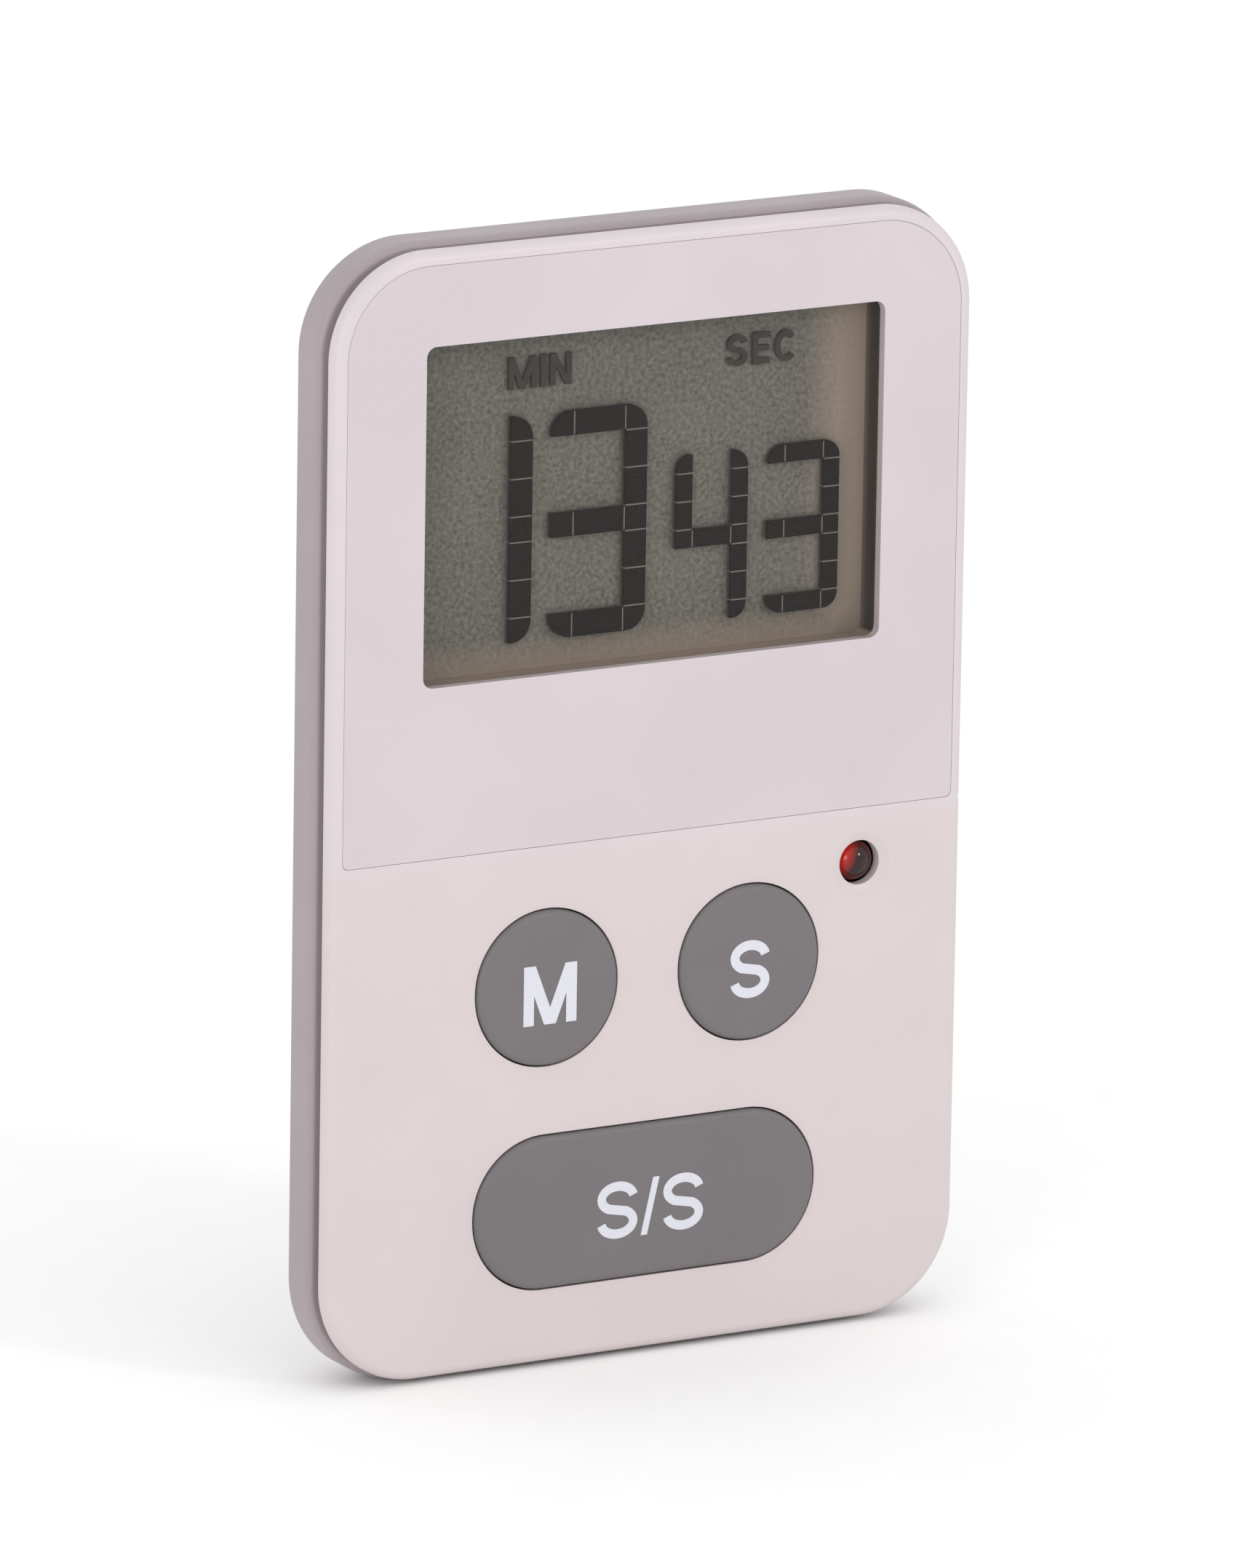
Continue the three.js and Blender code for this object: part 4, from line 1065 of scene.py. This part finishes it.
def make_lamp():
    steps = 14
    dome = [
        (LED_RADIUS * math.sin(turn), LED_TIP + LED_RADIUS * (1 - math.cos(turn)))
        for turn in (math.pi / 2 * step / steps for step in range(steps + 1))
    ]
    lamp = turned("alarm_lamp", [
        *dome, (LED_RADIUS, LED_FLANGE_FRONT), (LED_FLANGE, LED_FLANGE_FRONT),
        (LED_FLANGE, LED_BASE), (0, LED_BASE),
    ], LED_X, LED_Z)
    hand_over(soften(lamp, 0.05), "case", "red_lamp", "red_lamp", "alarm_led")


# ---------- rear cover ----------


def make_rear_cover():
    def plate(name, inset, front, back):
        return outline_plate(name, SHELL_LOW, SHELL_HIGH, CORNER + SHELL_FLARE, inset, front, back)

    shell = plate("rear_cover_shell", 0, SHOULDER_DEPTH, SHELL_CURVE_START)
    carry_end(shell, -1, quarter(SHOULDER_INSET, SHOULDER_DEPTH - SHELL_RIM, 8))
    carry_end(shell, 1, quarter(SHELL_CURVE_INSET, BACK - SHELL_CURVE_START, 16, CREASE))
    hollow = plate("hollow", SHELL_WALL, SHELL_RIM - CUT, SHELL_INSIDE_START)
    bowl = quarter(SHELL_INSIDE_INSET - SHELL_WALL, SHELL_INSIDE_DEPTH - SHELL_INSIDE_START, 12)
    carry_end(hollow, 1, bowl)
    inside = SHELL_INSIDE_DEPTH + JOIN
    kept = [
        turned("well", [
            (WELL_INNER, WELL_FRONT), (WELL_OUTER, WELL_FRONT), (WELL_OUTER, inside), (WELL_INNER, inside),
            (WELL_INNER, WELL_FRONT),
        ], DOOR_X, DOOR_Z, 96),
        block(
            "stand_boss", at(-BOSS_HALF_WIDTH, BOSS_FRONT, BOSS_LOW), at(BOSS_HALF_WIDTH, inside, BOSS_HIGH),
        ),
        turned("buzzer_seat", [
            (BUZZER_SEAT_INNER, BUZZER_SEAT_FRONT), (BUZZER_SEAT_OUTER, BUZZER_SEAT_FRONT),
            (BUZZER_SEAT_OUTER, inside), (BUZZER_SEAT_INNER, inside), (BUZZER_SEAT_INNER, BUZZER_SEAT_FRONT),
        ], BUZZER_X, BUZZER_Z),
    ]
    for middle in RIB_ANGLES:
        kept.append(sector(
            "rib", DOOR_X, DOOR_Z, RIB_INNER, RIB_OUTER, middle - RIB_HALF, middle + RIB_HALF,
            WELL_FRONT, RIB_BACK,
        ))
    for node in MAGNETS:
        x, z, half_width, half_height = middle_of(node)
        half_width += MAGNET_BOSS_SIDE
        half_height += MAGNET_BOSS_END
        kept.append(block(
            "magnet_boss", at(x - half_width, MAGNET_BOSS_FRONT, z - half_height),
            at(x + half_width, inside, z + half_height),
        ))
    for x, z in screw_places():
        kept.append(turned("sleeve", [
            (0, SLEEVE_FRONT), (SLEEVE_RADIUS, SLEEVE_FRONT), (SLEEVE_RADIUS, inside + 1), (0, inside + 1),
        ], x, z, 32))
    cut(shell, cut(hollow, *kept))

    openings = [
        turned("door_seat", [
            (0, DOOR_SEAT_DEPTH), (DOOR_SEAT, DOOR_SEAT_DEPTH), (DOOR_SEAT, BACK + CUT), (0, BACK + CUT),
        ], DOOR_X, DOOR_Z, 128),
        turned("door_hole", [
            (0, DOOR_HOLE_FRONT), (DOOR_HOLE, DOOR_HOLE_FRONT), (DOOR_HOLE, 9.5), (0, 9.5),
        ], DOOR_X, DOOR_Z, 96),
        slab(
            "stand_pocket", -POCKET_HALF_WIDTH, POCKET_HALF_WIDTH, POCKET_LOW, POCKET_HIGH,
            POCKET_FRONT, BACK + CUT, POCKET_CORNER, 6,
        ),
        across_bar("pin_hole", PIN_LOW.x - PIN_PLAY, PIN_HIGH.x + PIN_PLAY, PIN_RADIUS + PIN_PLAY),
    ]
    for lug in LUG_ANGLES:
        middle = lug - OPEN_TURN
        openings.append(sector(
            "gate", DOOR_X, DOOR_Z, LUG_INNER, GATE_OUTER, middle - GATE_HALF, middle + GATE_HALF,
            GATE_FRONT, GATE_BACK,
        ))
    for node in MAGNETS:
        x, z, half_width, half_height = middle_of(node)
        half_width += MAGNET_PLAY
        half_height += MAGNET_PLAY
        openings.append(slab(
            "magnet_pocket", x - half_width, x + half_width, z - half_height, z + half_height,
            BACK - MAGNET_POCKET_DEPTH, BACK + CUT, 0.4, 4,
        ))
    for row in (-1, 0, 1):
        z = BUZZER_Z + row * SLOT_SPACING
        openings.append(slab(
            "sound_slot", BUZZER_X - SLOT_HALF_LENGTH, BUZZER_X + SLOT_HALF_LENGTH,
            z - SLOT_HALF_WIDTH, z + SLOT_HALF_WIDTH, SLOT_FRONT, BACK + CUT, SLOT_HALF_WIDTH, 8,
        ))
    for x, z in screw_places():
        openings.append(turned("screw_hole", [
            (0, SCREW_HOLE_FRONT), (SCREW_HOLE, SCREW_HOLE_FRONT), (SCREW_HOLE, SCREW_SEAT),
            (SCREW_COUNTERBORE, SCREW_SEAT), (SCREW_COUNTERBORE, BACK + CUT), (0, BACK + CUT),
        ], x, z, 40))
    cut(shell, *openings)
    hand_over(soften(shell), "case", "grey_case", "grey_case", "rear_cover")


def make_battery_door():
    door = turned("battery_door_plate", [
        (0, DOOR_FLOOR), (DOOR_HUB_INNER, DOOR_FLOOR), (DOOR_HUB_INNER, DOOR_HUB_FRONT),
        (DOOR_HUB, DOOR_HUB_FRONT), (DOOR_HUB, DOOR_FACE_FRONT), (DOOR_FACE, DOOR_FACE_FRONT),
        (DOOR_FACE, BACK - DOOR_EDGE), (DOOR_FACE - DOOR_EDGE, BACK), (0, BACK),
    ], DOOR_X, DOOR_Z, 128)
    for lug in LUG_ANGLES:
        weld(door, sector(
            "lug", DOOR_X, DOOR_Z, LUG_INNER, LUG_OUTER, lug - LUG_HALF, lug + LUG_HALF,
            DOOR_HUB_FRONT, LUG_BACK,
        ))
    cut(door, slab(
        "coin_slot", DOOR_X - COIN_SLOT_HALF_LENGTH, DOOR_X + COIN_SLOT_HALF_LENGTH,
        DOOR_Z - COIN_SLOT_HALF_WIDTH, DOOR_Z + COIN_SLOT_HALF_WIDTH,
        BACK - COIN_SLOT_DEPTH, BACK + CUT, COIN_SLOT_HALF_WIDTH, 12,
    ))
    hand_over(soften(door, 0.08), "battery_door", "grey_case", "grey_case", "battery_door")


# ---------- stand, magnets and screws ----------


def make_stand():
    flap = slab(
        "stand_flap", STAND_LOW.x, STAND_HIGH.x, STAND_LOW.z, HINGE_Z, FLAP_FRONT, FLAP_BACK, FLAP_CORNER, 8,
    )
    weld(flap, across_bar("barrel", STAND_LOW.x, STAND_HIGH.x, BARREL_RADIUS))
    cut(flap, across_bar("bore", 2 * STAND_LOW.x, 2 * STAND_HIGH.x, BARREL_BORE))
    for row in range(RIDGES):
        z = STAND_LOW.z + RIDGE_FIRST + row * RIDGE_SPACING
        weld(flap, slab(
            "ridge", -RIDGE_HALF_LENGTH, RIDGE_HALF_LENGTH, z - RIDGE_HALF_WIDTH, z + RIDGE_HALF_WIDTH,
            RIDGE_FRONT, RIDGE_BACK, RIDGE_CORNER, 4,
        ))
    hand_over(soften(flap), "stand", "grey_case", "grey_case", "stand")
    pin = across_bar("stand_hinge_pin", PIN_LOW.x, PIN_HIGH.x, PIN_RADIUS)
    hand_over(soften(pin, 0), "case", "steel", "steel", "stand_pin")


def make_magnets():
    for node in MAGNETS:
        x, z, half_width, half_height = middle_of(node)
        bar = slab(
            node + "_bar", x - half_width, x + half_width, z - half_height, z + half_height,
            BACK - MAGNET_DEPTH, BACK, 0.3, 4,
        )
        hand_over(soften(bar, 0.1), "case", "magnet", "magnet", node)


def make_case_screws():
    first = turned("case_screw_pattern", [
        (0, 2.65), (0.6, 2.65), (SCREW_SHANK, 3.0), (SCREW_SHANK, 6.65), (1.75, 6.65), (1.75, 7.1),
        (1.6, 7.35), (1.2, 7.5), (0.7, 7.55), (0, 7.55),
    ], SCREW_X, SCREW_Z, 48)
    for half_width, half_height in ((1.05, 0.19), (0.19, 1.05)):
        cut(first, block(
            "recess", at(SCREW_X - half_width, 7.0, SCREW_Z - half_height),
            at(SCREW_X + half_width, 8.5, SCREW_Z + half_height),
        ))
    soften(first, 0.05)
    for number in (1, 2, 3, 4):
        node = "case_screw_%d" % number
        x, z, _, _ = middle_of(node)
        screw = copied(first, node + "_turned", (x - SCREW_X, 0, z - SCREW_Z))
        hand_over(screw, "case", "steel", "steel", node)
    bpy.data.objects.remove(first)


# ---------- carried-over nodes ----------


def finish_nodes():
    for part in frame["record"]["subparts"]:
        mesh = frame["nodes"][part["node"]].data
        mesh.materials.clear()
        mesh.materials.append(finishes[part["material_slot"]])


# ---------- setting, light and camera ----------

CAMERA_AZIMUTH = -29.94
CAMERA_ELEVATION = 13.85
CAMERA_ROLL = 0.93
CAMERA_DISTANCE = 1.079
CAMERA_SLIDE_X = -0.00173
CAMERA_SLIDE_UP = 0.00074


def direction(azimuth, elevation):
    """The way from the object to a place round it. Azimuth 0 is in front and 90 is at its right."""
    around, above = math.radians(azimuth), math.radians(elevation)
    return Vector((math.sin(around) * math.cos(above), -math.cos(around) * math.cos(above), math.sin(above)))


def make_camera():
    back = direction(CAMERA_AZIMUTH, CAMERA_ELEVATION)
    level = Vector((0, 0, 1)).cross(back).normalized()
    upright = back.cross(level)
    roll = math.radians(CAMERA_ROLL)
    right = level * math.cos(roll) + upright * math.sin(roll)
    up = upright * math.cos(roll) - level * math.sin(roll)
    data = bpy.data.cameras.new("camera")
    data.lens = 334.5
    data.sensor_width = 36
    camera = bpy.data.objects.new("camera", data)
    aim = Vector((0, FRONT_Y * MM, 0)) + level * CAMERA_SLIDE_X + upright * CAMERA_SLIDE_UP
    camera.location = aim + back * CAMERA_DISTANCE
    camera.rotation_mode = "QUATERNION"
    camera.rotation_quaternion = Matrix((right, up, back)).transposed().to_quaternion()
    bpy.context.scene.collection.objects.link(camera)
    bpy.context.scene.camera = camera


def make_floor():
    bpy.ops.object.select_all(action="DESELECT")
    bpy.ops.mesh.primitive_circle_add(
        vertices=96, radius=4.0, fill_type="NGON", location=(0, 0, (SHELL_LOW.z - 0.02) * MM),
    )
    floor = bpy.context.object
    floor.name = "floor"
    paper = Finish("pale paper", tint(252, 252, 252), 0.9)
    paper.drive("Base Color", paper.mix(paper.noise(6.0, 3.0), tint(255, 255, 255), tint(251, 251, 251)))
    floor.data.materials.append(paper.material)


def area_light(name, azimuth, elevation, distance, size, power):
    """A soft square light that looks at the object's middle."""
    way = direction(azimuth, elevation)
    data = bpy.data.lights.new(name, "AREA")
    data.shape = "SQUARE"
    data.size = size
    data.energy = power
    light = bpy.data.objects.new(name, data)
    light.location = way * distance
    light.rotation_mode = "QUATERNION"
    light.rotation_quaternion = way.to_track_quat("Z", "Y")
    bpy.context.scene.collection.objects.link(light)


def make_light():
    world = bpy.data.worlds.new("studio")
    world.use_nodes = True
    world.node_tree.nodes["Background"].inputs["Color"].default_value = (1, 1, 1, 1)
    world.node_tree.nodes["Background"].inputs["Strength"].default_value = 1.0
    bpy.context.scene.world = world
    area_light("small lamp", 30, 25, 0.9, 0.12, 0.9)
    area_light("side window", -52, 15, 1.0, 0.35, 1.5)
    bpy.context.scene.view_settings.view_transform = "Standard"


make_camera()
make_floor()
make_light()
finish_nodes()
make_front_cover()
make_window()
make_display()
make_keys()
make_lamp()
make_rear_cover()
make_battery_door()
make_stand()
make_magnets()
make_case_screws()
